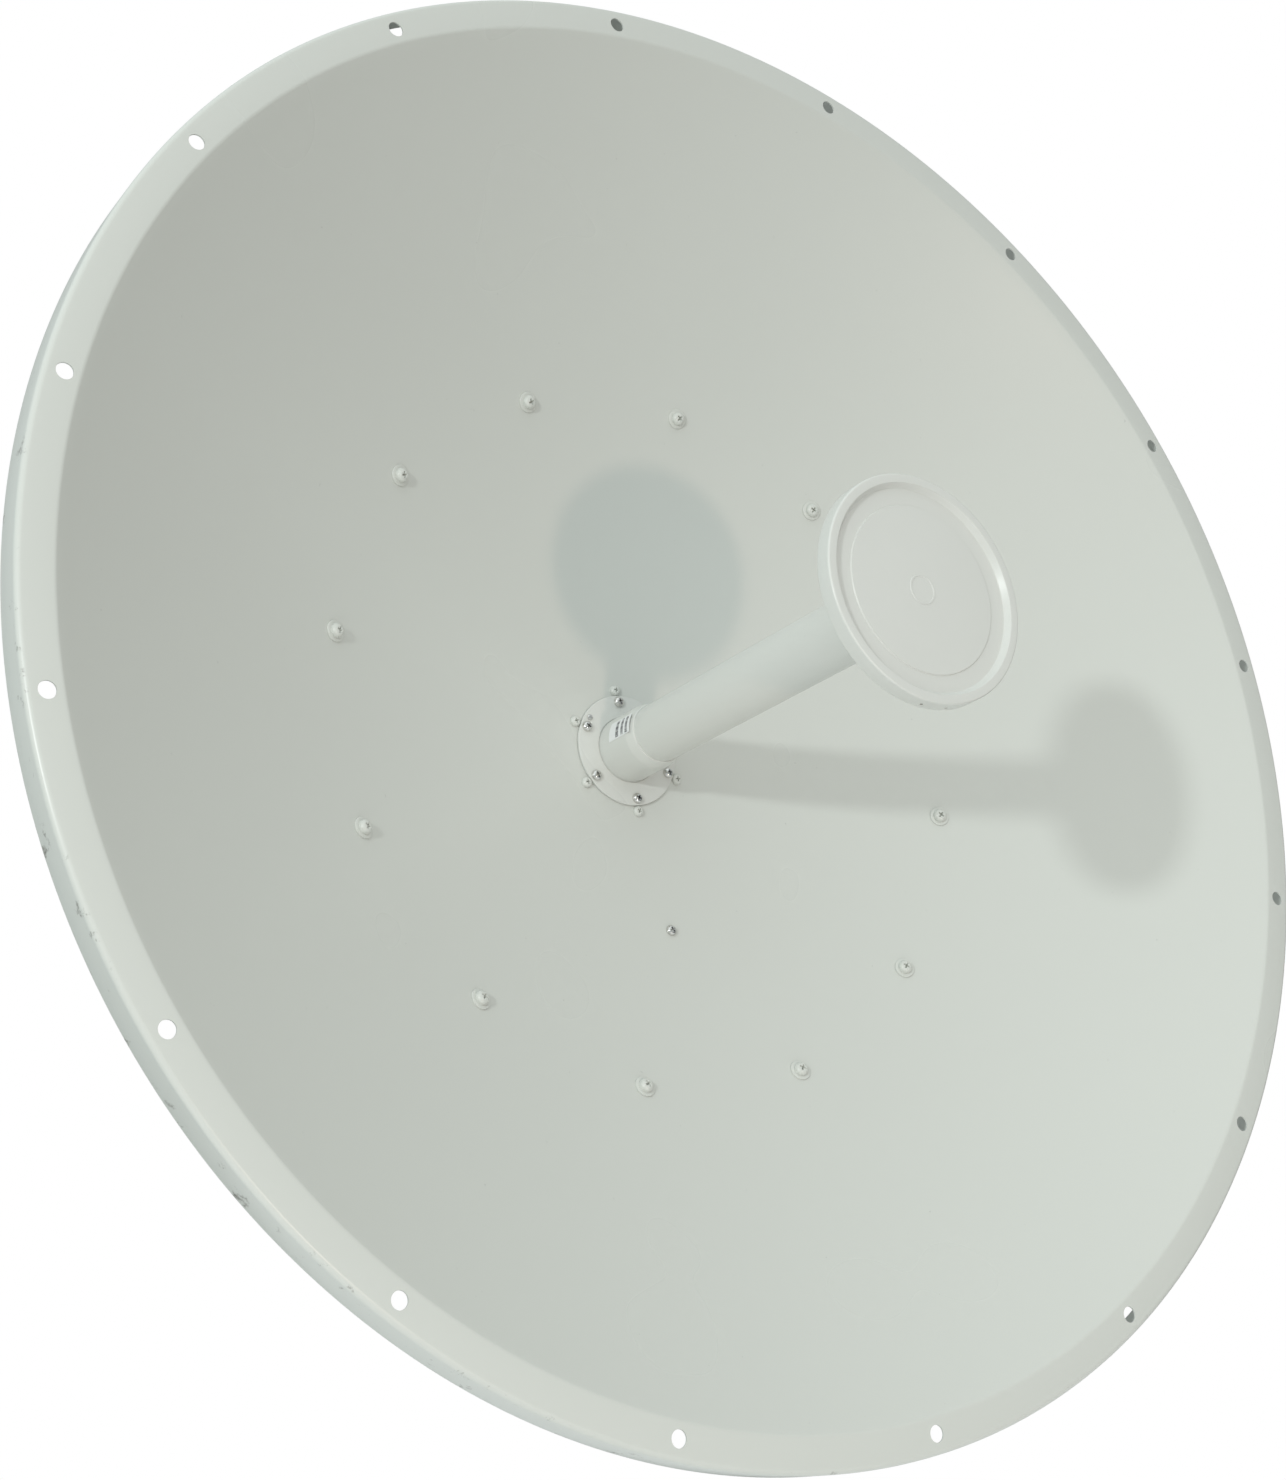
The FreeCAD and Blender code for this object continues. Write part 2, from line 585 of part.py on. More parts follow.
def build_reflector():
    """A pressed paraboloid with a flat seat at its vertex, a flat rim and a skirt turned back."""
    body = dish_body("reflector")
    item = new_sketch(body, "section", "YZ")
    hole = "spigot_radius + hole_gap"
    rear_seat = "seat_radius * sqrt(rear_4f / front_4f)"
    rear_edge = "sqrt(rear_4f * bowl_depth)"
    front = parabola(item, "bowl_depth", "front_4f", "seat_radius", "edge_radius")
    rear = parabola(item, "bowl_depth + sheet_thick", "rear_4f", rear_seat, rear_edge)

    seat_front = straight(item, ("seat_depth", hole), ("seat_depth", "seat_radius"))
    rim_front = straight(item, ("0", "edge_radius"), ("0", "rim_radius"))
    skirt_out = straight(item, ("0", "rim_radius"), ("rim_skirt", "rim_radius"))
    skirt_end = straight(item, ("rim_skirt", "rim_radius"), ("rim_skirt", "rim_radius - sheet_thick"))
    skirt_in = straight(item, ("rim_skirt", "rim_radius - sheet_thick"),
                        ("sheet_thick", "rim_radius - sheet_thick"))
    rim_back = straight(item, ("sheet_thick", "rim_radius - sheet_thick"), ("sheet_thick", rear_edge))
    seat_rear = straight(item, ("seat_back", rear_seat), ("seat_back", hole))
    hole_edge = straight(item, ("seat_back", hole), ("seat_depth", hole))

    joints = [(hole_edge, 2, seat_front, 1), (seat_front, 2, front, 1),
              (front, 2, rim_front, 1), (rim_front, 2, skirt_out, 1),
              (skirt_out, 2, skirt_end, 1), (skirt_end, 2, skirt_in, 1), (skirt_in, 2, rim_back, 1),
              (rim_back, 2, rear, 2), (rear, 1, seat_rear, 1),
              (seat_rear, 2, hole_edge, 1)]
    for one, one_end, other, other_end in joints:
        item.addConstraint(Sketcher.Constraint("Coincident", one, one_end, other, other_end))
    for upright in (seat_front, rim_front, skirt_end, rim_back, seat_rear):
        item.addConstraint(Sketcher.Constraint("Vertical", upright))
    for level in (skirt_out, skirt_in, hole_edge):
        item.addConstraint(Sketcher.Constraint("Horizontal", level))
    fix(item, "DistanceY", hole_edge, 2, hole)
    fix(item, "DistanceY", skirt_out, 1, "rim_radius")
    fix(item, "DistanceX", skirt_end, 1, "rim_skirt")
    fix(item, "DistanceY", skirt_in, 1, "rim_radius - sheet_thick")
    revolve(body, "pressing", item)

    def soften(name, radius, depth, ring_radius):
        """Round the circular edge at a depth and a radius."""
        shape = body.Shape
        wanted = (value(depth), value(ring_radius))
        names = [f"Edge{number}" for number, edge in enumerate(shape.Edges, start=1)
                 if isinstance(edge.Curve, Part.Circle)
                 and abs(edge.Curve.Radius - wanted[1]) < 0.01
                 and abs(edge.Curve.Center.y - wanted[0] - value("-rim_to_pole")) < 0.01]
        base = body.Tip
        item = body.newObject("PartDesign::Fillet", f"{body.Label}_{name}")
        item.Base = (base, names)
        item.setExpression("Radius", formula(radius))
        body.Tip = item
        doc.recompute()

    soften("bend_front", "rim_bend", "0", "edge_radius")
    soften("bend_rear", "rim_bend + sheet_thick", "sheet_thick", rear_edge)
    soften("corner_front", "rim_corner", "0", "rim_radius")
    soften("corner_rear", "rim_corner - sheet_thick", "sheet_thick", "rim_radius - sheet_thick")

    ring_of_holes(body, "rim_hole", "rim_radius - rim_hole_inset", "rim_hole_dia", "rim_hole_count",
                  "rim_hole_clock")
    ring_of_holes(body, "feed_hole", "feed_screw_pcd / 2", "small_screw_dia + 2 * hole_gap",
                  "hub_screw_count")
    ring_of_holes(body, "hub_hole", "hub_screw_pcd / 2", "small_screw_dia + 2 * hole_gap",
                  "hub_screw_count")
    ring_of_holes(body, "locating_hole", "locating_radius", "locating_dia + 2 * hole_gap", "1",
                  "locating_clock")
    tilted_holes(body, "ring_hole", RING_SEAT, "ring_clock", "ring_screw_dia", "ring_count")
    tilted_holes(body, "bracket_hole", FOOT_SEAT, "180", "small_screw_dia", "1")
    return body


def tilted_holes(body, name, place, clock, diameter, count):
    """Holes square to the bowl's surface, on a circle."""
    item = new_sketch(body, name + "_sketch", "YZ", clock=clock)
    screw_axis(item, place)
    side = f"({diameter}) / 2 + hole_gap"
    outline(item, [place("4", "0"), place("4", side), place("-8", side), place("-8", "0")])
    first = groove(body, name, item, "Axis0")
    if value(count) > 1:
        polar(body, name + "s", [first], count)


# ---------------------------------------------------------------- stiffening ring

def build_back_ring():
    """A pressed hat-section ring: a conical flange on the bowl, a wall, and a flat back face."""
    body = dish_body("back_ring")
    item = new_sketch(body, "section", "YZ")
    near = "-(sheet_thick + seam_gap)"
    far = "-(sheet_thick + seam_gap + ring_thick)"
    half = "ring_flange / 2"
    inner_bend = "ring_bend - ring_thick"
    lip_depth = "ring_face_depth - ring_lip"
    outline(item, [RING_SEAT(near, half),
                   RING_SEAT(far, half),
                   RING_SEAT(far, f"-({half})", inner_bend),
                   ("ring_back", "ring_outer_radius", "ring_bend"),
                   ("ring_back", "ring_inner_radius - ring_thick", "ring_bend"),
                   (lip_depth, "ring_inner_radius - ring_thick"),
                   (lip_depth, "ring_inner_radius"),
                   ("ring_face_depth", "ring_inner_radius", inner_bend),
                   ("ring_face_depth", "ring_outer_radius - ring_thick", inner_bend),
                   RING_SEAT(near, f"-({half}) - ring_thick", "ring_bend")])
    revolve(body, "pressing", item)
    tilted_holes(body, "ring_hole", RING_SEAT, "ring_clock", "ring_screw_dia", "ring_count")
    holes = new_sketch(body, "arm_holes_sketch", "XZ")
    for level in ("arm_bolt_low", "arm_bolt_high"):
        circle(holes, "arm_bolt_across", level, "arm_bolt_dia + 2 * hole_gap")
    mirror(body, "arm_holes", [cut(body, "arm_hole_pair", holes)], "YZ", "XY")
    return body


def build_ring_fasteners():
    """Screws, wide washers and nuts that hold the ring to the bowl, square to its surface."""
    lift = "head_gap"
    seat = on_normal("ring_depth", "ring_radius", "ring_slope")
    on_washer = lifted(seat, f"{lift} + ring_washer_thick")
    pan_screws("ring_screws", on_washer, "ring_clock", "ring_count", "ring_head_dia", "ring_head_tall",
               "ring_screw_dia", "ring_screw_long", "1.7")

    washers = dish_body("ring_washers", "ring_clock")
    item = new_sketch(washers, "section", "YZ")
    screw_axis(item, seat)
    bore, outside = "ring_screw_dia / 2 + slip_gap", "ring_washer_dia / 2"
    outline(item, [seat(lift, bore), seat(lift, outside),
                   seat(f"{lift} + ring_washer_thick", outside, "0.5"),
                   seat(f"{lift} + ring_washer_thick", bore)])
    polar(washers, "set", [revolve(washers, "turned", item, "Axis0")], "ring_count")

    nuts = dish_body("ring_nuts", "ring_clock")
    item = new_sketch(nuts, "face", "XZ")
    across, up = seat(f"-(sheet_thick + seam_gap + ring_thick + {lift})", 0)
    turn = FreeCAD.Rotation(FreeCAD.Vector(1, 0, 0), -value("ring_slope"))
    item.AttachmentOffset = FreeCAD.Placement(FreeCAD.Vector(), turn)
    item.setExpression("AttachmentOffset.Rotation.Angle", formula("ring_slope"))
    item.setExpression("AttachmentOffset.Base.y", formula(up))
    item.setExpression("AttachmentOffset.Base.z", formula(f"-({across})"))
    hexagon(item, "0", "0", "ring_nut_flats")
    circle(item, "0", "0", "ring_screw_dia + 2 * slip_gap")
    polar(nuts, "set", [pad(nuts, "hexagon", item, "ring_nut_tall", back=True)], "ring_count")


def lifted(place, lift):
    """The same surface point, with `out` counted from a seat that stands off it."""
    def higher(out, side, rounding=None):
        return place(f"({out}) + {lift}", side, rounding)
    return higher


RING_SEAT = on_normal("ring_depth", "ring_radius", "ring_slope")
FOOT_SEAT = on_normal("foot_depth", "bracket_screw_radius", "foot_slope")


# ---------------------------------------------------------------- hub and feed

def turned_body(label, corners):
    """A piece turned about the dish's axis from (depth, radius) corners."""
    body = dish_body(label)
    item = new_sketch(body, "section", "YZ")
    outline(item, corners)
    revolve(body, "turned", item)
    return body


def build_hub():
    """A cast ring behind the reflector, tapped for both circles of screws."""
    bore = "spigot_radius + slip_gap"
    body = turned_body("hub", [("seat_back", bore), ("seat_back", "hub_dia / 2"),
                               ("hub_back", "hub_dia / 2", "2"), ("hub_back", bore)])
    tapped = "small_screw_dia + 2 * slip_gap"
    ring_of_holes(body, "feed_hole", "feed_screw_pcd / 2", tapped, "hub_screw_count")
    ring_of_holes(body, "hub_hole", "hub_screw_pcd / 2", tapped, "hub_screw_count")
    ring_of_holes(body, "locating_hole", "locating_radius", "locating_dia + 2 * slip_gap", "1",
                  "locating_clock")
    for name, clock in (("left", "180 + hub_tap_clock"), ("right", "180 - hub_tap_clock")):
        ring_of_holes(body, name + "_tap", "hub_tap_radius", tapped, "1", clock)
    ring_of_holes(body, "transition_tap", "transition_screw_pcd / 2",
                  "transition_screw_dia + 2 * slip_gap", "transition_screw_count", "45")


def build_feed():
    """Flange with collar, its gasket and screws, the outer tube and the waveguide inside it."""
    socket_bore = "tube_radius + slip_gap"
    spigot_bore = "guide_radius + slip_gap"
    flange = turned_body("feed_flange", [
        ("flange_front", "flange_dia / 2", "0.6"),
        ("flange_back", "flange_dia / 2"),
        ("flange_back", "spigot_radius"),
        ("hub_back - 1", "spigot_radius", "1"),
        ("hub_back - 1", spigot_bore),
        ("tube_socket", spigot_bore),
        ("tube_socket", socket_bore),
        ("collar_front", socket_bore),
        ("collar_front", "spigot_radius - collar_chamfer"),
        ("collar_front + collar_chamfer", "spigot_radius"),
        ("flange_front", "spigot_radius", "1")])
    through = "small_screw_dia + 2 * hole_gap"
    ring_of_holes(flange, "feed_hole", "feed_screw_pcd / 2", through, "hub_screw_count")
    ring_of_holes(flange, "locating_hole", "locating_radius", "locating_dia + 2 * slip_gap", "1",
                  "locating_clock")

    gasket = turned_body("feed_gasket", [
        ("flange_back", "flange_dia / 2 - 0.5"), ("seat_depth", "flange_dia / 2 - 0.5"),
        ("seat_depth", "spigot_radius + hole_gap"), ("flange_back", "spigot_radius + hole_gap")])
    ring_of_holes(gasket, "feed_hole", "feed_screw_pcd / 2", through, "hub_screw_count")
    ring_of_holes(gasket, "locating_hole", "locating_radius", "locating_dia + 2 * hole_gap", "1",
                  "locating_clock")

    pan_screws("feed_screws", on_normal("flange_front", "feed_screw_pcd / 2", "0"), "0",
               "hub_screw_count", "small_head_dia", "small_head_tall", "small_screw_dia",
               "small_screw_long", "1.5")
    pan_screws("hub_screws", on_normal("seat_depth", "hub_screw_pcd / 2", "0"), "0",
               "hub_screw_count", "small_head_dia", "small_head_tall", "small_screw_dia",
               "small_screw_long", "1.5")
    pan_screws("locating_screw", on_normal("flange_front", "locating_radius", "0"), "locating_clock",
               "1", "locating_head_dia", "1.3", "locating_dia", "7", "0.8")

    tube_front = "cap_back + cap_wall - 0.5"
    turned_body("feed_tube", [
        ("tube_socket", "tube_radius"), (tube_front, "tube_radius"),
        (tube_front, "tube_radius - tube_wall"), ("tube_socket", "tube_radius - tube_wall")])
    turned_body("waveguide", [
        ("hub_back + guide_lap", "guide_radius"), ("-guide_front", "guide_radius"),
        ("-guide_front", "guide_bore"), ("hub_back + guide_lap", "guide_bore")])


def build_cap():
    """The splash plate on its dielectric plug, between the cap and its back shell."""
    inside = "cap_radius - cap_wall"
    floor_edge = "cap_radius - cap_ring - cap_recess * 0.5"
    cap = turned_body("feed_cap", [
        ("cap_inside", "0"),
        ("cap_floor - cap_step", "0"),
        ("cap_floor - cap_step", "cap_step_dia / 2"),
        ("cap_floor", "cap_step_dia / 2 + cap_step"),
        ("cap_floor", floor_edge, "1.2"),
        ("-cap_front", "cap_radius - cap_ring", "1.2"),
        ("-cap_front", "cap_radius", "1.4"),
        ("cap_back", "cap_radius - 0.4", "1"),
        ("cap_back", inside),
        ("cap_inside", inside)])
    hole_depth = "cap_back - cap_tall * 0.42"
    for name, clock in (("drain_low", "180"), ("drain_side", "180 + drain_spread")):
        item = new_sketch(cap, name + "_sketch", "YZ", clock=clock)
        place = on_drain(hole_depth)
        screw_axis(item, place)
        outline(item, [place("0", "0"), place("0", "drain_dia / 2"),
                       place("cap_wall * 3", "drain_dia / 2"), place("cap_wall * 3", "0")])
        groove(cap, name, item, "Axis0")

    bore = "tube_radius + slip_gap"
    turned_body("cap_back_shell", [
        ("cap_back", "cap_radius - cap_wall - slip_gap"),
        ("cap_back - cap_wall", "cap_radius - cap_wall - slip_gap"),
        ("cap_back - cap_wall", bore),
        ("cap_back + cap_neck", bore),
        ("cap_back + cap_neck", f"{bore} + cap_wall", "0.8"),
        ("cap_back", f"{bore} + cap_wall", "1.5")])

    turned_body("splash_plate", [
        ("plate_front", "0"), ("plate_front + plate_thick + 1.4", "0"),
        ("plate_front + plate_thick + 1.4", "2"),
        ("plate_front + plate_thick", "9"), ("plate_front + plate_thick", "plate_dia / 2 - 5"),
        ("plate_front + plate_thick * 2", "plate_dia / 2 - 5"),
        ("plate_front + plate_thick * 2", "plate_dia / 2 - 3.5"),
        ("plate_front + plate_thick", "plate_dia / 2 - 3.5"),
        ("plate_front + plate_thick", "plate_dia / 2"), ("plate_front", "plate_dia / 2")])

    plug_front = "plate_front + plate_thick + 1.6"
    plug_back = "plug_seat - guide_front"
    plug_radius = "guide_bore - slip_gap"
    turned_body("dielectric_plug", [
        (plug_front, "0"), (plug_front, plug_radius),
        (plug_back, plug_radius), (f"{plug_back} + plug_nose", "4"), (f"{plug_back} + plug_nose", "0")])


def on_drain(depth):
    """Places in a drain hole: `out` goes inwards from ahead of the side wall, `side` along its axis."""
    def place(out, side, rounding=None):
        return (f"{depth} - ({side})", f"cap_radius + 1 - ({out})")
    return place


def build_label():
    """A sticker wrapped part of the way round the collar."""
    body = dish_body("feed_label", "label_clock")
    item = new_sketch(body, "section", "YZ")
    inner, outer = "spigot_radius", "spigot_radius + label_thick"
    outline(item, [("label_front", inner), ("label_front", outer),
                   ("label_front + label_long", outer), ("label_front + label_long", inner)])
    wrap = feature(body, "Revolution", "wrapped", item)
    wrap.ReferenceAxis = (item, ["H_Axis"])
    wrap.setExpression("Angle", formula("label_span"))
    wrap.Midplane = True
    doc.recompute()


# ---------------------------------------------------------------- transition and coax jacks

def build_transition():
    """A closed casting that carries the waveguide's end and two coax jacks at right angles."""
    body = turned_body("transition", [
        ("hub_back", "0"), ("hub_back", "transition_flange_dia / 2"),
        ("hub_back + transition_flange_thick", "transition_flange_dia / 2", "1"),
        ("hub_back + transition_flange_thick", "transition_dia / 2", "2"),
        ("hub_back + transition_long", "transition_dia / 2", "3"),
        ("hub_back + transition_long", "0")])
    for name, plane, across, up in (("upright", "XY", "0", "hub_back + upright_jack"),
                                    ("level", "YZ", "hub_back + level_jack", "0")):
        item = new_sketch(body, name + "_boss_sketch", plane)
        circle(item, across, up, "2 * boss_radius")
        pad(body, name + "_boss", item, "boss_height")
    bores = new_sketch(body, "bore_section", "YZ")
    outline(bores, [("hub_back - 1", "0"), ("hub_back - 1", "guide_radius + slip_gap"),
                    ("hub_back + guide_lap", "guide_radius + slip_gap"),
                    ("hub_back + guide_lap", "guide_bore"),
                    ("hub_back + transition_long - end_wall", "guide_bore"),
                    ("hub_back + transition_long - end_wall", "0")])
    groove(body, "bore", bores)
    for name, plane, across, up in (("upright", "XY", "0", "hub_back + upright_jack"),
                                    ("level", "YZ", "hub_back + level_jack", "0")):
        item = new_sketch(body, name + "_jack_sketch", plane)
        circle(item, across, up, "jack_bore_dia + 2")
        cut(body, name + "_jack_hole", item, "boss_height + 1", back=True)
    ring_of_holes(body, "screw_hole", "transition_screw_pcd / 2",
                  "transition_screw_dia + 2 * hole_gap", "transition_screw_count", "45")

    rear_face = on_rear("hub_back + transition_flange_thick", "transition_screw_pcd / 2")
    pan_screws("transition_screws", rear_face, "45", "transition_screw_count", "5.6", "2",
               "transition_screw_dia", "transition_flange_thick + 6", "1")


def on_rear(depth, radius):
    """Places on a face that looks backwards: `out` is backwards."""
    def place(out, side, rounding=None):
        spot = (f"{depth} + ({out})", f"{radius} + ({side})")
        return spot if rounding is None else spot + (rounding,)
    return place


def build_jacks():
    """Each jack: hexagon and thread, an insulator in it, and a probe pin into the waveguide."""
    shells = dish_body("coax_jacks")
    sleeves = dish_body("jack_insulators")
    pins = dish_body("probe_pins")
    for name, plane, across, up in (("upright", "XY", "0", "hub_back + upright_jack"),
                                    ("level", "YZ", "hub_back + level_jack", "0")):
        root = "guide_bore + 0.2"

        def ring(body, part, start, length, outer, inner=None, flats=False):
            item = new_sketch(body, f"{name}_{part}_sketch", plane, offset=start)
            if flats:
                hexagon(item, across, up, outer)
            else:
                circle(item, across, up, outer)
            if inner is not None:
                circle(item, across, up, inner)
            pad(body, f"{name}_{part}", item, length)

        ring(shells, "stem", root, f"boss_height - ({root})", "jack_bore_dia + 2 - 2 * slip_gap",
             "jack_bore_dia")
        ring(shells, "hexagon", "boss_height", "jack_hex_thick", "jack_flats", "jack_bore_dia", flats=True)
        ring(shells, "thread", "boss_height + jack_hex_thick", "jack_thread_long", "jack_thread_dia",
             "jack_bore_dia")
        ring(sleeves, "sleeve", root, f"boss_height + jack_hex_thick - ({root})",
             "jack_bore_dia - 2 * slip_gap", "probe_dia + 2 * slip_gap")
        ring(pins, "pin", "guide_bore - probe_depth",
             "boss_height + jack_hex_thick + jack_thread_long - 1.5 - guide_bore + probe_depth",
             "probe_dia")


# ---------------------------------------------------------------- radio bracket

def build_radio_bracket():
    """A bent strip from the hub down to the single screw, standing off to carry the radio."""
    body = dish_body("radio_bracket")
    item = new_sketch(body, "section", "YZ")
    def foot(out, side, rounding=None):
        depth, radius = FOOT_SEAT(out, side)
        spot = (depth, f"-({radius})")
        return spot if rounding is None else spot + (rounding,)
    near, far = "-(sheet_thick + seam_gap)", "-(sheet_thick + seam_gap + bracket_thick)"
    top_step = "-(hub_dia / 2 + 4)"
    foot_top = "-(transition_flange_dia / 2 + 1.2)"
    outer, inner = "bracket_thick + 1.5", "1.5"
    outline(item, [foot(near, "bracket_foot"),
                   foot(far, "bracket_foot"),
                   foot(far, "-bracket_foot", inner),
                   ("bracket_back + bracket_thick", "-(bracket_screw_radius - bracket_foot * 1.6)", outer),
                   ("bracket_back + bracket_thick", top_step, outer),
                   ("hub_back + bracket_thick", top_step, inner),
                   ("hub_back + bracket_thick", foot_top),
                   ("hub_back", foot_top),
                   ("hub_back", f"{top_step} - bracket_thick", outer),
                   ("bracket_back", f"{top_step} - bracket_thick", inner),
                   ("bracket_back", "-(bracket_screw_radius - bracket_foot * 1.6 - bracket_thick)", inner),
                   foot(near, "-bracket_foot - bracket_thick", outer)])
    pad(body, "strip", item, "bracket_wide", both=True)
    for name, clock in (("left", "180 + hub_tap_clock"), ("right", "180 - hub_tap_clock")):
        ring_of_holes(body, name + "_hole", "hub_tap_radius", "small_screw_dia + 2 * hole_gap", "1", clock)
    tilted_holes(body, "foot_hole", FOOT_SEAT, "180", "small_screw_dia", "1")
    radio = new_sketch(body, "radio_holes_sketch", "XZ")
    for side in ("-", "+"):
        circle(radio, "0", f"-radio_level {side} radio_hole_gap / 2", "radio_hole_dia")
    cut(body, "radio_holes", radio)

    bracket_face = on_rear("hub_back + bracket_thick", "hub_tap_radius")
    pair = pan_screws("bracket_screws", bracket_face, "180 - hub_tap_clock", "1", "small_head_dia",
                      "small_head_tall", "small_screw_dia", "8", "1.5")
    twin = pair.newObject("PartDesign::PolarPattern", "bracket_screws_pair")
    twin.Originals = [pair.Group[1]]
    twin.Axis = (origin_feature(pair, "Y_Axis"), [""])
    twin.setExpression("Angle", formula("2 * hub_tap_clock"))
    twin.Occurrences = 2
    pair.Tip = twin
    doc.recompute()

    pan_screws("foot_screw", lifted(FOOT_SEAT, "head_gap"), "180", "1", "small_head_dia", "small_head_tall",
               "small_screw_dia", "small_screw_long", "1.5")
    nut = dish_body("foot_nut", "180")
    item = new_sketch(nut, "face", "XZ")
    across, up = FOOT_SEAT(f"-(sheet_thick + seam_gap + bracket_thick + 0.02)", 0)
    item.AttachmentOffset = FreeCAD.Placement(FreeCAD.Vector(), FreeCAD.Rotation(FreeCAD.Vector(1, 0, 0), 1))
    item.setExpression("AttachmentOffset.Rotation.Angle", formula("foot_slope"))
    item.setExpression("AttachmentOffset.Base.y", formula(up))
    item.setExpression("AttachmentOffset.Base.z", formula(f"-({across})"))
    hexagon(item, "0", "0", "small_nut_flats")
    circle(item, "0", "0", "small_screw_dia + 2 * slip_gap")
    pad(nut, "hexagon", item, "3.2", back=True)


# ---------------------------------------------------------------- arms

def tilt_body(label):
    """A body drawn about the tilt axis, which is its x axis."""
    return new_body(label, y="-pivot_to_pole")


def build_arm(label, side):
    """A bent plate: a flange bolted to the ring's back face, and an ear with pivot hole and slot."""
    body = tilt_body(label)
    item = new_sketch(body, "section", "XY")
    flange_end = f"{side}(arm_inside + arm_flange)"
    inner, outer = f"{side}(arm_inside)", f"{side}(arm_outside)"
    outline(item, [(inner, "-arm_reach", "arm_bend"),
                   (flange_end, "-arm_reach"),
                   (flange_end, "-arm_reach + arm_thick"),
                   (outer, "-arm_reach + arm_thick", "arm_bend - arm_thick"),
                   (outer, "ear_rear"),
                   (inner, "ear_rear")])
    pad(body, "angle", item, "arm_tall", both=True)

    trims = new_sketch(body, "ear_trim_sketch", "YZ")
    foot = "-arm_reach + arm_bend + arm_foot"
    for sign, edge in (("", "ear_top"), ("-", "ear_bottom")):
        outline(trims, [(foot, f"{sign}(arm_end + trim_over)"),
                        (foot, f"{sign}(arm_end - arm_shoulder)", "flange_corner"),
                        ("-ear_neck", f"{sign}({edge})", "1.5 * flange_corner"),
                        ("ear_rear", f"{sign}({edge})", "ear_corner - 2"),
                        ("ear_rear", f"{sign}({edge} - ear_corner)"),
                        ("ear_rear + trim_over", f"{sign}({edge} - ear_corner)"),
                        ("ear_rear + trim_over", f"{sign}(arm_end + trim_over)")])
    cut(body, "ear_trim", trims)

    flange_trims = new_sketch(body, "flange_trim_sketch", "XZ")
    near = f"{side}(arm_inside + arm_flange - flange_corner)"
    beyond = f"{side}(arm_inside + arm_flange + trim_over)"
    for sign in ("", "-"):
        outline(flange_trims, [(flange_end, f"{sign}(arm_end - flange_corner)"),
                               (flange_end, f"{sign}(arm_end)", "flange_corner - 2"),
                               (near, f"{sign}(arm_end)"),
                               (near, f"{sign}(arm_end + trim_over)"),
                               (beyond, f"{sign}(arm_end + trim_over)"),
                               (beyond, f"{sign}(arm_end - flange_corner)")])
    cut(body, "flange_trim", flange_trims)

    holes = new_sketch(body, "bolt_holes_sketch", "XZ")
    for sign in ("", "-"):
        for level in ("arm_bolt_low", "arm_bolt_high"):
            circle(holes, f"{side}(arm_bolt_across)", f"{sign}{level}", "arm_bolt_dia + 2 * hole_gap")
    cut(body, "bolt_holes", holes)

    pivot = new_sketch(body, "pivot_sketch", "YZ")
    circle(pivot, "0", "0", "pivot_dia + 2 * pivot_gap")
    arc_slot(pivot, ("0", "0"), "tilt_slot_radius", 90, "tilt_range", "pivot_dia + 2 * slot_gap")
    circle(pivot, "hub_back + level_jack + pivot_to_pole - rim_to_pole", "0", "access_dia")
    cut(body, "pivot_and_slot", pivot)


def build_arm_fasteners():
    """M8 bolts from the back, washers under their heads, and nuts inside the ring."""
    head_face = "-(ring_back + arm_thick + arm_washer_thick)"
    bolts = dish_body("arm_bolts")
    shank = new_sketch(bolts, "shank_sketch", "XZ", offset=head_face)
    head = new_sketch(bolts, "head_sketch", "XZ", offset=head_face)
    washers = dish_body("arm_washers")
    rings = new_sketch(washers, "face", "XZ", offset=head_face)
    nuts = dish_body("arm_nuts")
    faces = new_sketch(nuts, "face", "XZ", offset="-ring_face_depth")
    for level in ("arm_bolt_low", "arm_bolt_high"):
        circle(shank, "arm_bolt_across", level, "arm_bolt_dia")
        hexagon(head, "arm_bolt_across", level, "arm_head_flats")
        circle(rings, "arm_bolt_across", level, "arm_washer_dia")
        circle(rings, "arm_bolt_across", level, "arm_bolt_dia + 2 * slip_gap")
        hexagon(faces, "arm_bolt_across", level, "arm_head_flats")
        circle(faces, "arm_bolt_across", level, "arm_bolt_dia + 2 * slip_gap")
    parts = [pad(bolts, "shanks", shank, "arm_thick + arm_washer_thick + ring_thick + arm_nut_tall + bolt_spare"),
             pad(bolts, "heads", head, "arm_head_tall", back=True)]
    mirror(bolts, "set", parts, "YZ", "XY")
    mirror(washers, "set", [pad(washers, "rings", rings, "arm_washer_thick")], "YZ", "XY")
    mirror(nuts, "set", [pad(nuts, "hexagons", faces, "arm_nut_tall")], "YZ", "XY")


# ---------------------------------------------------------------- yoke

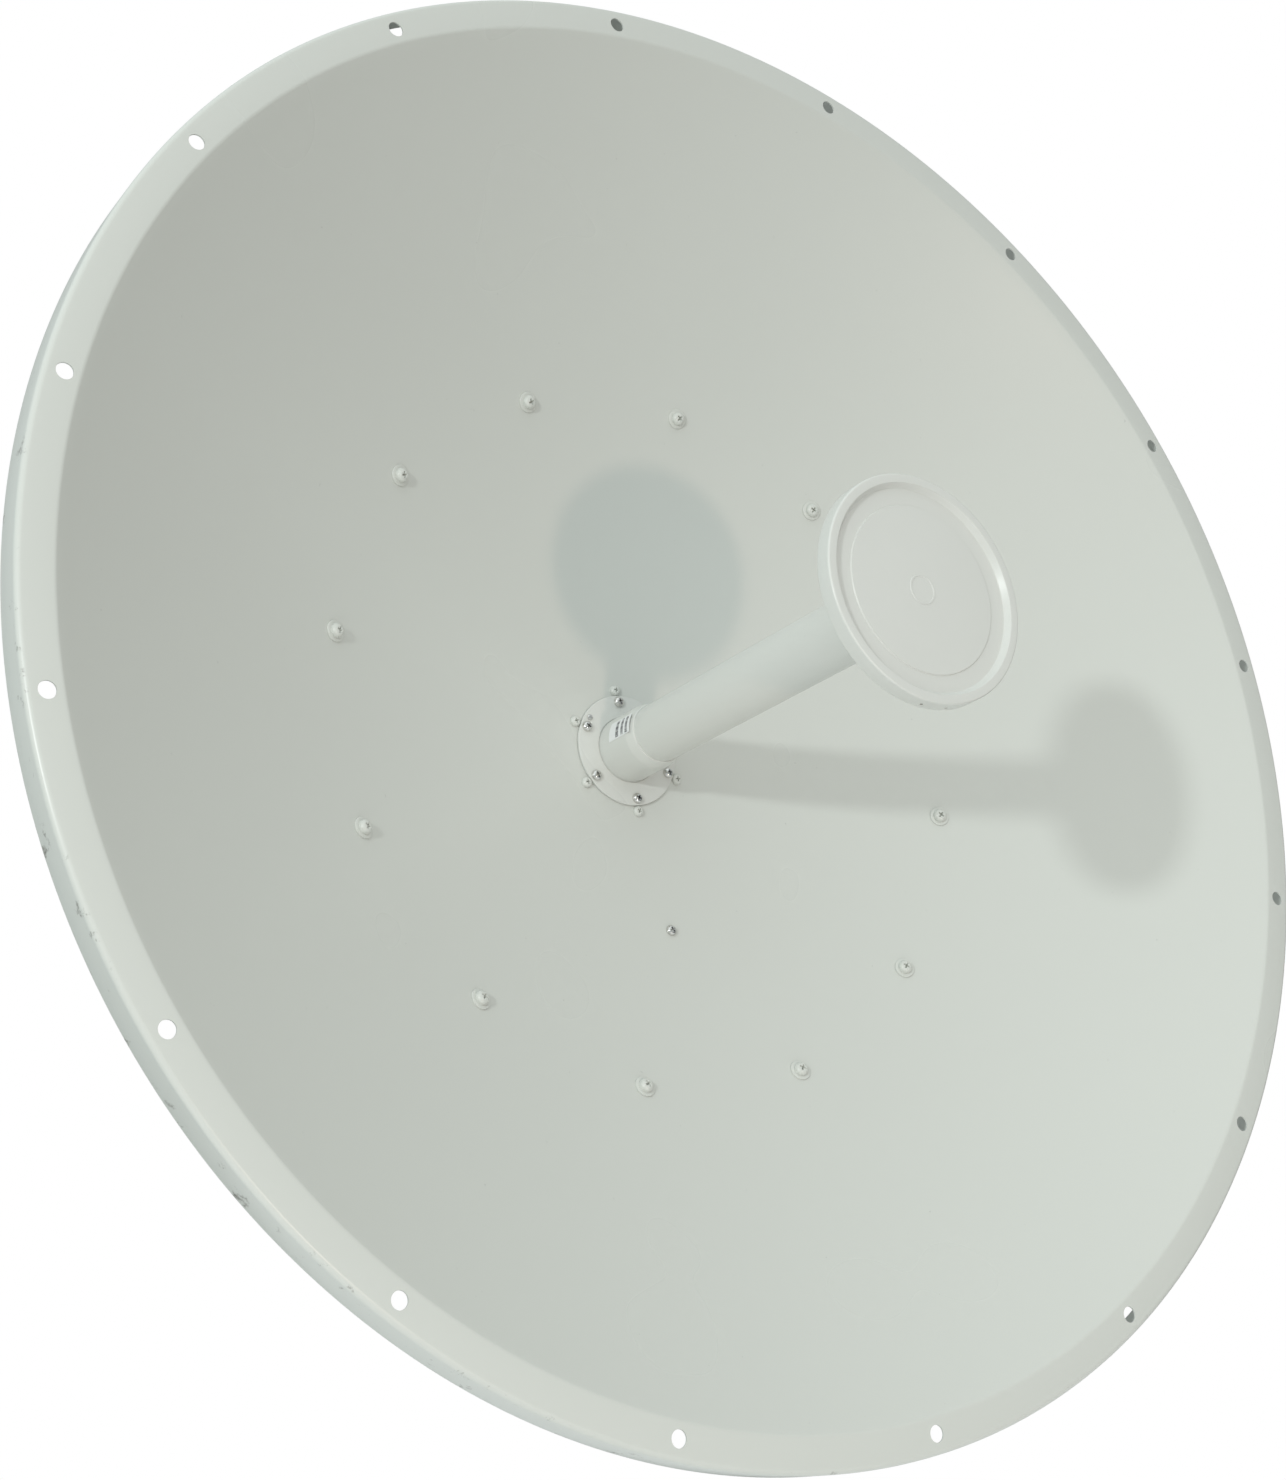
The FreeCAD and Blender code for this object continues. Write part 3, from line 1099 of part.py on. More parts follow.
def build_yoke():
    """A cross-bent plate: cheeks forward to the tilt axis, flanges back to the turn axis."""
    body = tilt_body("yoke")
    cheek = "yoke_outside - yoke_thick"
    inner_bend = "yoke_bend - yoke_thick"
    item = new_sketch(body, "cheeks_section", "XY")
    outline(item, [("-yoke_outside", "-yoke_front"),
                   (f"-({cheek})", "-yoke_front"),
                   (f"-({cheek})", "yoke_web_gap", inner_bend),
                   (cheek, "yoke_web_gap", inner_bend),
                   (cheek, "-yoke_front"),
                   ("yoke_outside", "-yoke_front"),
                   ("yoke_outside", "yoke_web_back", "yoke_bend"),
                   ("-yoke_outside", "yoke_web_back", "yoke_bend")])
    pad(body, "cheeks", item, "yoke_tall - 2 * yoke_bend", both=True)

    trims = new_sketch(body, "cheek_trim_sketch", "YZ")
    for sign, edge in (("", "yoke_top"), ("-", "yoke_bottom")):
        outline(trims, [("yoke_web_gap - 8", f"{sign}(yoke_end + trim_over)"),
                        ("yoke_web_gap - 8", f"{sign}({edge})", "yoke_bend"),
                        ("-yoke_front", f"{sign}({edge})", "ear_corner"),
                        ("-yoke_front", f"{sign}({edge} - ear_corner - 2)"),
                        ("-yoke_front - trim_over", f"{sign}({edge} - ear_corner - 2)"),
                        ("-yoke_front - trim_over", f"{sign}(yoke_end + trim_over)")])
    cut(body, "cheek_trim", trims)

    rear = "turn_back + yoke_rear"
    item = new_sketch(body, "flanges_section", "YZ")
    outline(item, [("yoke_web_gap", "-yoke_end", "yoke_bend"),
                   (rear, "-yoke_end"),
                   (rear, "-yoke_end + yoke_thick"),
                   ("yoke_web_back", "-yoke_end + yoke_thick", inner_bend),
                   ("yoke_web_back", "yoke_end - yoke_thick", inner_bend),
                   (rear, "yoke_end - yoke_thick"),
                   (rear, "yoke_end"),
                   ("yoke_web_gap", "yoke_end", "yoke_bend")])
    pad(body, "flanges", item, "yoke_flange_wide", both=True)

    half = "yoke_flange_wide / 2"
    corners = new_sketch(body, "corner_trim_sketch", "XY")
    for sign in ("", "-"):
        outline(corners, [(f"{sign}yoke_nose", f"{rear} + trim_over"),
                          (f"{sign}yoke_nose", rear),
                          (f"{sign}({half})", "turn_back + yoke_shoulder"),
                          (f"{sign}({half} + trim_over)", "turn_back + yoke_shoulder"),
                          (f"{sign}({half} + trim_over)", f"{rear} + trim_over")])
    cut(body, "corner_trim", corners)

    turn = new_sketch(body, "turn_sketch", "XY")
    circle(turn, "0", "turn_back", "pivot_dia + 2 * pivot_gap")
    for middle in (0, 180):
        arc_slot(turn, ("0", "turn_back"), "turn_slot_radius", middle, "turn_range",
                 "pivot_dia + 2 * slot_gap")
    cut(body, "turn_holes", turn)

    tilt = new_sketch(body, "tilt_sketch", "YZ")
    circle(tilt, "0", "0", "pivot_dia + 2 * hole_gap")
    circle(tilt, "0", "tilt_slot_radius", "pivot_dia + 2 * hole_gap")
    cut(body, "tilt_holes", tilt)

    window = new_sketch(body, "window_sketch", "XZ", offset="-yoke_web_gap + 2")
    circle(window, "0", "0", "window_dia")
    cut(body, "window", window, "yoke_thick + 4")


def build_tilt_fasteners():
    """Pivot and lock bolts of the tilt, heads outside the arms, nuts inside the cheeks."""
    bolts, washers, nuts = tilt_body("tilt_bolts"), tilt_body("tilt_washers"), tilt_body("tilt_nuts")
    shank_end = "tilt_nut - nut_tall - bolt_spare"
    shank = new_sketch(bolts, "shank_sketch", "YZ", offset=shank_end)
    head = new_sketch(bolts, "head_sketch", "YZ", offset="tilt_head")
    ring = new_sketch(washers, "face", "YZ", offset="tilt_head - washer_thick")
    face = new_sketch(nuts, "face", "YZ", offset="tilt_nut - nut_tall")
    for level in ("0", "tilt_slot_radius"):
        circle(shank, "0", level, "pivot_dia")
        hexagon(head, "0", level, "head_flats")
        circle(ring, "0", level, "washer_dia")
        circle(ring, "0", level, "pivot_dia + 2 * slip_gap")
        hexagon(face, "0", level, "head_flats")
        circle(face, "0", level, "pivot_dia + 2 * slip_gap")
    parts = [pad(bolts, "shanks", shank, f"tilt_head - ({shank_end})"),
             pad(bolts, "heads", head, "head_tall")]
    mirror(bolts, "set", parts, "YZ")
    mirror(washers, "set", [pad(washers, "rings", ring, "washer_thick")], "YZ")
    mirror(nuts, "set", [pad(nuts, "hexagons", face, "nut_tall")], "YZ")


# ---------------------------------------------------------------- pole bracket and clamps

def build_pole_bracket():
    """A heavy channel: its web sits against the clamp saddles, its flanges hold the turn bolts."""
    body = new_body("pole_bracket")
    front = "-(turn_to_pole + bracket_reach)"
    item = new_sketch(body, "section", "YZ")
    inner_bend = "heavy_bend - plate_thick_heavy"
    outline(item, [(front, "bracket_inside"), (front, "bracket_end"),
                   ("-web_to_pole", "bracket_end", "heavy_bend"),
                   ("-web_to_pole", "-bracket_end", "heavy_bend"),
                   (front, "-bracket_end"), (front, "-bracket_inside"),
                   ("web_front", "-bracket_inside", inner_bend),
                   ("web_front", "bracket_inside", inner_bend)])
    pad(body, "channel", item, "2 * bracket_half_wide", both=True)

    corners = new_sketch(body, "corner_trim_sketch", "XY")
    for sign in ("", "-"):
        outline(corners, [(f"{sign}(bracket_half_wide)", f"{front} + bracket_corner"),
                          (f"{sign}(bracket_half_wide)", front, "bracket_corner - 2"),
                          (f"{sign}(bracket_half_wide - bracket_corner)", front),
                          (f"{sign}(bracket_half_wide - bracket_corner)", f"{front} - trim_over"),
                          (f"{sign}(bracket_half_wide + trim_over)", f"{front} - trim_over"),
                          (f"{sign}(bracket_half_wide + trim_over)", f"{front} + bracket_corner")])
    cut(body, "corner_trim", corners)

    turn = new_sketch(body, "turn_sketch", "XY")
    for across in ("0", "turn_slot_radius", "-turn_slot_radius"):
        circle(turn, across, "-turn_to_pole", "pivot_dia + 2 * hole_gap")
    cut(body, "turn_holes", turn)

    web = new_sketch(body, "web_sketch", "XZ")
    circle(web, "0", "0", "window_dia")
    for sign in ("", "-"):
        for level in ("", "-"):
            circle(web, f"{sign}clamp_bolt_across", f"{level}clamp_level", "pivot_dia + 2 * slot_gap")
    cut(body, "web_holes", web)


def build_turn_fasteners():
    """Pivot and lock bolts of the turn, heads outside the bracket, nuts inside the yoke."""
    bolts, washers, nuts = new_body("turn_bolts"), new_body("turn_washers"), new_body("turn_nuts")
    shank_end = "turn_nut - nut_tall - bolt_spare"
    shank = new_sketch(bolts, "shank_sketch", "XY", offset=shank_end)
    head = new_sketch(bolts, "head_sketch", "XY", offset="bracket_end")
    ring = new_sketch(washers, "face", "XY", offset="turn_nut")
    face = new_sketch(nuts, "face", "XY", offset="turn_nut - nut_tall")
    for across in ("0", "turn_slot_radius", "-turn_slot_radius"):
        circle(shank, across, "-turn_to_pole", "pivot_dia")
        hexagon(head, across, "-turn_to_pole", "head_flats")
        circle(ring, across, "-turn_to_pole", "washer_dia")
        circle(ring, across, "-turn_to_pole", "pivot_dia + 2 * slip_gap")
        hexagon(face, across, "-turn_to_pole", "head_flats")
        circle(face, across, "-turn_to_pole", "pivot_dia + 2 * slip_gap")
    parts = [pad(bolts, "shanks", shank, f"bracket_end - ({shank_end})"),
             pad(bolts, "heads", head, "head_tall")]
    mirror(bolts, "set", parts, "XY")
    mirror(washers, "set", [pad(washers, "rings", ring, "washer_thick")], "XY")
    mirror(nuts, "set", [pad(nuts, "hexagons", face, "nut_tall")], "XY")


def bore_for_pole(body):
    item = new_sketch(body, "pole_sketch", "XY")
    circle(item, "0", "0", "pole_dia")
    cut(body, "pole_seat", item)
    bolts = new_sketch(body, "bolt_holes_sketch", "XZ")
    level = "clamp_level" if body.Label.startswith("upper") else "-clamp_level"
    for sign in ("", "-"):
        circle(bolts, f"{sign}clamp_bolt_across", level, "pivot_dia + 2 * slot_gap")
    cut(body, "bolt_holes", bolts)


def build_clamp(name, sign):
    """A saddle against the bracket's web, and a jaw that two nuts draw up behind the pole."""
    bottom = f"{sign}clamp_level - clamp_tall / 2"
    saddle = new_body(name + "_saddle")
    item = new_sketch(saddle, "section", "XY", offset=bottom)
    outline(item, [("-bracket_half_wide", "-web_to_pole"), ("bracket_half_wide", "-web_to_pole"),
                   ("bracket_half_wide", "-clamp_gap", "4"), ("-bracket_half_wide", "-clamp_gap", "4")])
    pad(saddle, "block", item, "clamp_tall")
    bore_for_pole(saddle)

    jaw = new_body(name + "_jaw")
    item = new_sketch(jaw, "section", "XY", offset=bottom)
    crown = "pole_dia / 2 + jaw_wall"
    outline(item, [("-bracket_half_wide", "clamp_gap", "3"), ("bracket_half_wide", "clamp_gap", "3"),
                   ("bracket_half_wide", "jaw_nut_face", "4"), ("31", "jaw_nut_face", "5"),
                   ("22", crown, "9"), ("-22", crown, "9"), ("-31", "jaw_nut_face", "5"),
                   ("-bracket_half_wide", "jaw_nut_face", "4")])
    pad(jaw, "block", item, "clamp_tall")
    bore_for_pole(jaw)

    washers, nuts = new_body(name + "_jaw_washers"), new_body(name + "_jaw_nuts")
    ring = new_sketch(washers, "face", "XZ", offset="-(jaw_nut_face + washer_thick)")
    face = new_sketch(nuts, "face", "XZ", offset="-(jaw_nut_face + washer_thick + nut_tall)")
    level = f"{sign}clamp_level"
    for side in ("", "-"):
        circle(ring, f"{side}clamp_bolt_across", level, "washer_dia")
        circle(ring, f"{side}clamp_bolt_across", level, "pivot_dia + 2 * slip_gap")
        hexagon(face, f"{side}clamp_bolt_across", level, "head_flats")
        circle(face, f"{side}clamp_bolt_across", level, "pivot_dia + 2 * slip_gap")
    pad(washers, "rings", ring, "washer_thick")
    pad(nuts, "hexagons", face, "nut_tall")


def build_clamp_bolts():
    bolts = new_body("clamp_bolts")
    rear_end = "jaw_nut_face + washer_thick + nut_tall + jaw_travel + bolt_spare"
    shank = new_sketch(bolts, "shank_sketch", "XZ", offset=f"-({rear_end})")
    head = new_sketch(bolts, "head_sketch", "XZ", offset="-web_front")
    circle(shank, "clamp_bolt_across", "clamp_level", "pivot_dia")
    hexagon(head, "clamp_bolt_across", "clamp_level", "head_flats")
    parts = [pad(bolts, "shank", shank, f"{rear_end} - web_front"),
             pad(bolts, "head", head, "head_tall")]
    mirror(bolts, "set", parts, "YZ", "XY")


# ---------------------------------------------------------------- the whole antenna

build_reflector()
build_back_ring()
build_ring_fasteners()
build_hub()
build_feed()
build_cap()
build_label()
build_transition()
build_jacks()
build_radio_bracket()
build_arm("right_arm", "")
build_arm("left_arm", "-")
build_arm_fasteners()
build_yoke()
build_tilt_fasteners()
build_pole_bracket()
build_turn_fasteners()
build_clamp("upper", "")
build_clamp("lower", "-")
build_clamp_bolts()
doc.recompute()

failed = [item.Label for item in doc.Objects if {"Invalid", "Error"} & set(item.State)]
failed += [body.Label for body in subparts if body.Shape.isNull() or not body.Shape.isValid()]
if failed:
    raise RuntimeError("failed: " + ", ".join(failed))

os.makedirs("parts", exist_ok=True)
for body in subparts:
    body.Shape.exportStep(f"parts/{body.Label}.step")
    print(f"{body.Label}: {len(body.Shape.Solids)} solids, {body.Shape.Volume / 1000:.2f} cm3")
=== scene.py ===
import json
import math
import random

import bmesh
import bpy
from mathutils import Matrix, Vector


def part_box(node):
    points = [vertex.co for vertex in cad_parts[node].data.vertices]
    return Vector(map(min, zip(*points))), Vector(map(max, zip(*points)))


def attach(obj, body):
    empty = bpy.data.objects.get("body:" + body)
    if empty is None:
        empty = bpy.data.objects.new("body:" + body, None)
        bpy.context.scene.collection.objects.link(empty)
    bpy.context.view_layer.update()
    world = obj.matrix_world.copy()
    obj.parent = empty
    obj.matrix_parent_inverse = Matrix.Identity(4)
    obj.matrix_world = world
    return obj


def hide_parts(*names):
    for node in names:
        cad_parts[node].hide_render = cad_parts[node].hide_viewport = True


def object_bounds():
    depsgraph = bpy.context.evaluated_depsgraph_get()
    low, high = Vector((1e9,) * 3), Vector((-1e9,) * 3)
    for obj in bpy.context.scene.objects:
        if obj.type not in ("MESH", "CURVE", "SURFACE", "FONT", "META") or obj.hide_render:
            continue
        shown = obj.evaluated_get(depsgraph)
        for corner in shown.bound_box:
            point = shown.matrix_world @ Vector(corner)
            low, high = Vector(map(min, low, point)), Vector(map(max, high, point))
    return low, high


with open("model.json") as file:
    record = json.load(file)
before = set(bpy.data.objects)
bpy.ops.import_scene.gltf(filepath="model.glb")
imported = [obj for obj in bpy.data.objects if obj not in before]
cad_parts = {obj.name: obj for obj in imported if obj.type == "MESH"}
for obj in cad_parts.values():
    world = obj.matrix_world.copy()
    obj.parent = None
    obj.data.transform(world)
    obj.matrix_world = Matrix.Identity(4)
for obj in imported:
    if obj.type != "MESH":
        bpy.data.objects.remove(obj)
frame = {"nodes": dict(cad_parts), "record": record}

# Parabolic dish antenna. Profiles are in millimetres as (radius, depth), where depth is measured
# behind the rim's front plane; "clock" is clockwise from the top as seen from the front.

CAD_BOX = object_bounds()
MM = 0.001
ROOT_3 = math.sqrt(3)
MOUNTS = {mount["name"]: mount for mount in frame["record"]["mounts"]}
RIM_Y = MOUNTS["rim_holes"]["pos_m"][1]
RIM_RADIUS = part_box("reflector")[1][2] / MM

SHEET = 1.2
SKIRT_END = 25.5
BOWL_DEPTH = 178.0
EDGE_RADIUS = RIM_RADIUS - 23.5                  # where the bowl meets the flat rim
FRONT_4F = EDGE_RADIUS ** 2 / BOWL_DEPTH         # four times the focal length of the front face
SEAT_RADIUS = 52.0                               # the flat seat for the feed, at the bowl's centre
SEAT_DEPTH = BOWL_DEPTH - SEAT_RADIUS ** 2 / FRONT_4F
SEAT_HOLE = 25.25
FLANGE_DEPTH = SEAT_DEPTH - 2.4
FLANGE_RADIUS = 43.2
RING_RADIUS = 267.0
RING_CLOCK = 16.2
RING_SCREWS = 12
FEED_SCREWS = 6
FEED_SCREW_RADIUS = 38
HUB_SCREW_RADIUS = 47.6
FOOT_RADIUS = 142.2
RIM_CLOCK = -1.1
SCREW_LIFT = 0.06                                # daylight under a head or washer, as in the CAD
COLLAR_RADIUS = 25.0
TUBE_RADIUS = 22
TUBE_BORE = 20.2
TUBE_FOOT = 172
CAP_FRONT = (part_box("feed_cap")[0][1] - RIM_Y) / MM
CAP_BACK = (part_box("feed_cap")[1][1] - RIM_Y) / MM
CAP_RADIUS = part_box("feed_cap")[1][0] / MM

# metric hardware, in millimetres
M10_PITCH, M10_FLATS, M10_HEAD, M10_NUT, M10_WASHER = 1.5, 16, 6.4, 8, 2
M8_PITCH, M8_FLATS, M8_HEAD, M8_NUT, M8_WASHER = 1.25, 13, 5.3, 6.5, 1.6

random.seed(11)


# ---------------------------------------------------------------- geometry

def spot(radius, depth, clock):
    """A point of the dish, in metres in the row frame."""
    angle = math.radians(clock)
    return Vector((radius * math.sin(angle) * MM, RIM_Y + depth * MM, radius * math.cos(angle) * MM))


def rounded(corners, steps=6):
    """A closed outline with some corners rounded: each corner is (a, b) or (a, b, radius)."""
    points = []
    for index, corner in enumerate(corners):
        here = Vector(corner[:2])
        if len(corner) < 3:
            points.append(tuple(here))
            continue
        back = (Vector(corners[index - 1][:2]) - here).normalized()
        ahead = (Vector(corners[(index + 1) % len(corners)][:2]) - here).normalized()
        half = back.angle(ahead) / 2
        centre = here + (back + ahead).normalized() * (corner[2] / math.sin(half))
        start = here + back * (corner[2] / math.tan(half)) - centre
        finish = here + ahead * (corner[2] / math.tan(half)) - centre
        sweep = start.angle_signed(finish)
        for step in range(steps + 1):
            turned = start.copy()
            turned.rotate(Matrix.Rotation(-sweep * step / steps, 2))
            points.append(tuple(centre + turned))
    return points


def lathe(profile, around, place=spot, ring=True):
    """A mesh turned from a profile; ring closes the profile, and radius 0 makes a pole."""
    verts, rows = [], []
    for radius, depth in profile:
        if radius < 1e-6:
            rows.append([len(verts)] * around)
            verts.append(place(0, depth, 0))
            continue
        rows.append(list(range(len(verts), len(verts) + around)))
        verts += [place(radius, depth, 360 * step / around) for step in range(around)]
    faces = []
    pairs = list(zip(rows, rows[1:])) + ([(rows[-1], rows[0])] if ring else [])
    for low, high in pairs:
        for step in range(around):
            after = (step + 1) % around
            corners = [low[step], low[after], high[after], high[step]]
            faces.append([v for at, v in enumerate(corners) if v not in corners[:at]])
    faces = [face for face in faces if len(face) > 2]
    return mesh_of(verts, faces)


def mesh_of(verts, faces):
    """A mesh whose face normals point outwards."""
    mesh = bpy.data.meshes.new("piece")
    mesh.from_pydata(verts, [], faces)
    work = bmesh.new()
    work.from_mesh(mesh)
    bmesh.ops.recalc_face_normals(work, faces=work.faces)
    work.to_mesh(mesh)
    work.free()
    return mesh


def own_axis(radius, height, clock):
    """Places a lathe profile about the z axis, in metres: height runs along +z."""
    angle = math.radians(clock)
    return Vector((radius * math.cos(angle) * MM, radius * math.sin(angle) * MM, height * MM))


def carve(mesh, cutter, how="DIFFERENCE"):
    """The mesh with the cutter's volume taken away (or kept, with INTERSECT)."""
    body = bpy.data.objects.new("carved", mesh)
    tool = bpy.data.objects.new("tool", cutter)
    for item in (body, tool):
        bpy.context.scene.collection.objects.link(item)
    change = body.modifiers.new("cut", "BOOLEAN")
    change.operation, change.solver, change.object = how, "EXACT", tool
    done = bpy.data.meshes.new_from_object(body.evaluated_get(bpy.context.evaluated_depsgraph_get()))
    for item in (body, tool):
        bpy.data.objects.remove(item)
    return done


def joined(parts):
    """One mesh of many (mesh, matrix) pairs."""
    work = bmesh.new()
    for mesh, matrix in parts:
        piece = mesh.copy()
        piece.transform(matrix)
        work.from_mesh(piece)
        bpy.data.meshes.remove(piece)
    mesh = bpy.data.meshes.new("joined")
    work.to_mesh(mesh)
    work.free()
    return mesh


def piece(name, mesh, material, body, slot, *nodes, sharp=30):
    """Links a finished mesh as a piece that rides on a body and stands for its CAD nodes."""
    mesh.materials.clear()
    for item in (material if isinstance(material, list) else [material]):
        mesh.materials.append(item)
    mesh.polygons.foreach_set("use_smooth", [True] * len(mesh.polygons))
    mesh.set_sharp_from_angle(angle=math.radians(sharp))
    made = bpy.data.objects.new(name, mesh)
    bpy.context.scene.collection.objects.link(made)
    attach(made, body)
    if nodes:
        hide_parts(*nodes)
    return made


def facing(origin, normal, turn=0.0):
    """A matrix that stands local +z along a normal at a point, turned about it."""
    spin = Vector(normal).to_track_quat("Z", "Y").to_matrix().to_4x4()
    return Matrix.Translation(origin) @ spin @ Matrix.Rotation(math.radians(turn), 4, "Z")


def on_bowl(radius, clock, lift=0.0, turn=0.0):
    """A matrix on the bowl's front face, +z square to the sheet and towards the feed."""
    slope = math.atan(2 * radius / FRONT_4F)
    angle = math.radians(clock)
    normal = Vector((-math.sin(slope) * math.sin(angle), -math.cos(slope),
                     -math.sin(slope) * math.cos(angle)))
    foot = spot(radius, BOWL_DEPTH - radius ** 2 / FRONT_4F, clock)
    return facing(foot + normal * lift * MM, normal, turn)


# ---------------------------------------------------------------- materials

class Nodes:
    """A material's node tree with short calls."""

    def __init__(self, name):
        self.material = bpy.data.materials.new(name)
        self.material.use_nodes = True
        self.tree = self.material.node_tree
        self.shader = self.tree.nodes["Principled BSDF"]
        self.where = self.add("ShaderNodeTexCoord").outputs["Object"]

    def add(self, kind, **values):
        node = self.tree.nodes.new(kind)
        for key, value in values.items():
            setattr(node, key, value)
        return node

    def join(self, source, target):
        self.tree.links.new(source, target)

    def noise(self, scale, detail=3.0, rough=0.55):
        node = self.add("ShaderNodeTexNoise")
        self.join(self.where, node.inputs["Vector"])
        node.inputs["Scale"].default_value = scale
        node.inputs["Detail"].default_value = detail
        node.inputs["Roughness"].default_value = rough
        return node.outputs["Fac"]

    def spread(self, source, low, high, to_low, to_high):
        """Maps low..high onto to_low..to_high, and holds the ends."""
        node = self.add("ShaderNodeMapRange")
        self.join(source, node.inputs["Value"])
        for key, value in (("From Min", low), ("From Max", high),
                           ("To Min", to_low), ("To Max", to_high)):
            node.inputs[key].default_value = value
        return node.outputs["Result"]

    def math(self, operation, one, other=0.0):
        node = self.add("ShaderNodeMath", operation=operation)
        for socket, value in zip(node.inputs, (one, other)):
            if isinstance(value, (int, float)):
                socket.default_value = value
            else:
                self.join(value, socket)
        return node.outputs[0]

    def mix(self, factor, one, other):
        node = self.add("ShaderNodeMix", data_type="RGBA")
        sockets = (node.inputs[0], node.inputs[6], node.inputs[7])      # factor, colours A and B
        for socket, value in zip(sockets, (factor, one, other)):
            if isinstance(value, (tuple, list)):
                socket.default_value = (*value, 1)
            else:
                self.join(value, socket)
        return node.outputs[2]

    def bump(self, height, distance, strength, base=None):
        node = self.add("ShaderNodeBump")
        self.join(height, node.inputs["Height"])
        node.inputs["Distance"].default_value = distance
        node.inputs["Strength"].default_value = strength
        if base:
            self.join(base, node.inputs["Normal"])
        return node.outputs["Normal"]

    def finish(self, colour=None, rough=None, normal=None, metal=0.0, **sockets):
        self.shader.inputs["Metallic"].default_value = metal
        for key, value in (("Base Color", colour), ("Roughness", rough), ("Normal", normal)):
            if value is not None:
                self.join(value, self.shader.inputs[key])
        for key, value in sockets.items():
            self.shader.inputs[key.replace("_", " ")].default_value = value
        return self.material


def shade(colour, amount):
    """The colour made lighter or darker."""
    return tuple(min(1.0, channel * amount) for channel in colour)


def powder_coat(name, colour, wear=0.0):
    """Gloss powder coat: faint orange peel, slow tone changes, dust, and chips where it wears."""
    n = Nodes(name)
    tone = n.mix(n.noise(2.5, 1), shade(colour, 0.985), shade(colour, 1.015))
    specks = n.spread(n.noise(260, 1), 0.80, 0.84, 0, 0.5)
    tone = n.mix(specks, tone, shade(colour, 0.72))
    rough = n.spread(n.noise(6, 1), 0.3, 0.7, 0.27, 0.33)
    if wear:
        split = n.add("ShaderNodeSeparateXYZ")
        n.join(n.where, split.inputs[0])
        across, up = split.outputs["X"], split.outputs["Z"]
        squares = [n.math("MULTIPLY", axis, axis) for axis in (across, up)]
        reach = n.math("SQRT", n.math("ADD", *squares))
        corner = n.spread(reach, (RIM_RADIUS - 3) * MM, (RIM_RADIUS - 1) * MM, 0, 1)
        low_left = n.spread(n.math("ADD", across, n.math("MULTIPLY", up, 0.6)), -0.25, -0.45, 0, 1)
        scuffs = n.spread(n.noise(55, 8, 0.75), 0.60, 0.68, 0, wear)
        mark = n.math("MULTIPLY", n.math("MULTIPLY", corner, low_left), scuffs)
        tone = n.mix(mark, tone, (0.16, 0.15, 0.13))
    peel = n.bump(n.noise(420, 1), 0.00003, 0.2)
    wave = n.bump(n.noise(7, 0), 0.0008, 0.10, peel)
    return n.finish(tone, rough, wave, Specular_IOR_Level=0.5)


def moulded(name, colour, low=0.28, high=0.4):
    """Moulded plastic: fine texture and faint flow marks."""
    n = Nodes(name)
    tone = n.mix(n.noise(18, 4), shade(colour, 0.975), shade(colour, 1.025))
    rough = n.spread(n.noise(60, 4), 0.3, 0.7, low, high)
    grain = n.bump(n.noise(1600, 2), 0.00002, 0.4)
    return n.finish(tone, rough, n.bump(n.noise(30, 2), 0.0003, 0.12, grain))


def metal(name, colour, low, high, grain=1400, depth=0.00002, patch=40):
    """Bare or plated metal: tone patches, uneven roughness and a fine grain."""
    n = Nodes(name)
    tone = n.mix(n.noise(patch, 5), shade(colour, 0.85), shade(colour, 1.08))
    rough = n.spread(n.noise(patch * 3, 5), 0.3, 0.7, low, high)
    return n.finish(tone, rough, n.bump(n.noise(grain, 3), depth, 0.6), metal=1.0)


def galvanised(name):
    """Hot-dip zinc: crystal spangle in tone and roughness, with dull run marks."""
    n = Nodes(name)
    cells = n.add("ShaderNodeTexVoronoi")
    n.join(n.where, cells.inputs["Vector"])
    cells.inputs["Scale"].default_value = 110
    split = n.add("ShaderNodeSeparateColor")
    n.join(cells.outputs["Color"], split.inputs[0])
    crystals = n.math("MULTIPLY", split.outputs[0], 0.6)
    spangle = n.math("ADD", crystals, n.math("MULTIPLY", n.noise(12, 5), 0.4))
    tone = n.mix(spangle, (0.40, 0.42, 0.43), (0.62, 0.64, 0.65))
    rough = n.spread(spangle, 0.2, 0.8, 0.36, 0.58)
    return n.finish(tone, rough, n.bump(n.noise(240, 4), 0.00008, 0.5), metal=0.85)


def cast(name):
    """Sand-cast aluminium: coarse grain and darker pits."""
    n = Nodes(name)
    tone = n.mix(n.noise(260, 5, 0.7), (0.36, 0.37, 0.37), (0.58, 0.59, 0.59))
    rough = n.spread(n.noise(90, 4), 0.3, 0.7, 0.45, 0.62)
    return n.finish(tone, rough, n.bump(n.noise(700, 4, 0.7), 0.00022, 0.7), metal=0.9)


WARM_WHITE = (0.62, 0.635, 0.595)
CAP_WHITE = (0.66, 0.67, 0.635)
PAINT = powder_coat("dish_powder_coat", WARM_WHITE, wear=0.85)
PLAIN_PAINT = powder_coat("arm_powder_coat", WARM_WHITE)
# painted highlight: the screws wear the dish's same white paint, made 4% lighter so their heads look
# brighter
LIGHTENED_SCREW_PAINT = powder_coat("screw_paint_lightened", shade(WARM_WHITE, 1.04))
FEED_PAINT = powder_coat("feed_paint", CAP_WHITE)
CAP = moulded("cap_plastic", CAP_WHITE)
PAPER = moulded("label_paper", (0.82, 0.83, 0.83), 0.35, 0.45)
INK = moulded("label_ink", (0.07, 0.07, 0.08), 0.35, 0.5)
DIELECTRIC = moulded("dielectric_white", (0.8, 0.8, 0.78), 0.45, 0.6)
RUBBER = moulded("gasket_rubber", (0.02, 0.02, 0.02), 0.6, 0.8)
ZINC = metal("zinc_plate", (0.60, 0.61, 0.60), 0.24, 0.42)
BRIGHT = metal("bright_steel", (0.72, 0.71, 0.69), 0.05, 0.12, 2600, 0.000004, 200)
BARE = metal("bare_aluminium", (0.75, 0.76, 0.77), 0.25, 0.4)
BRASS = metal("gold_plate", (0.82, 0.62, 0.30), 0.2, 0.34)
ZINC_DIP = galvanised("galvanised_steel")
CAST = cast("cast_aluminium")

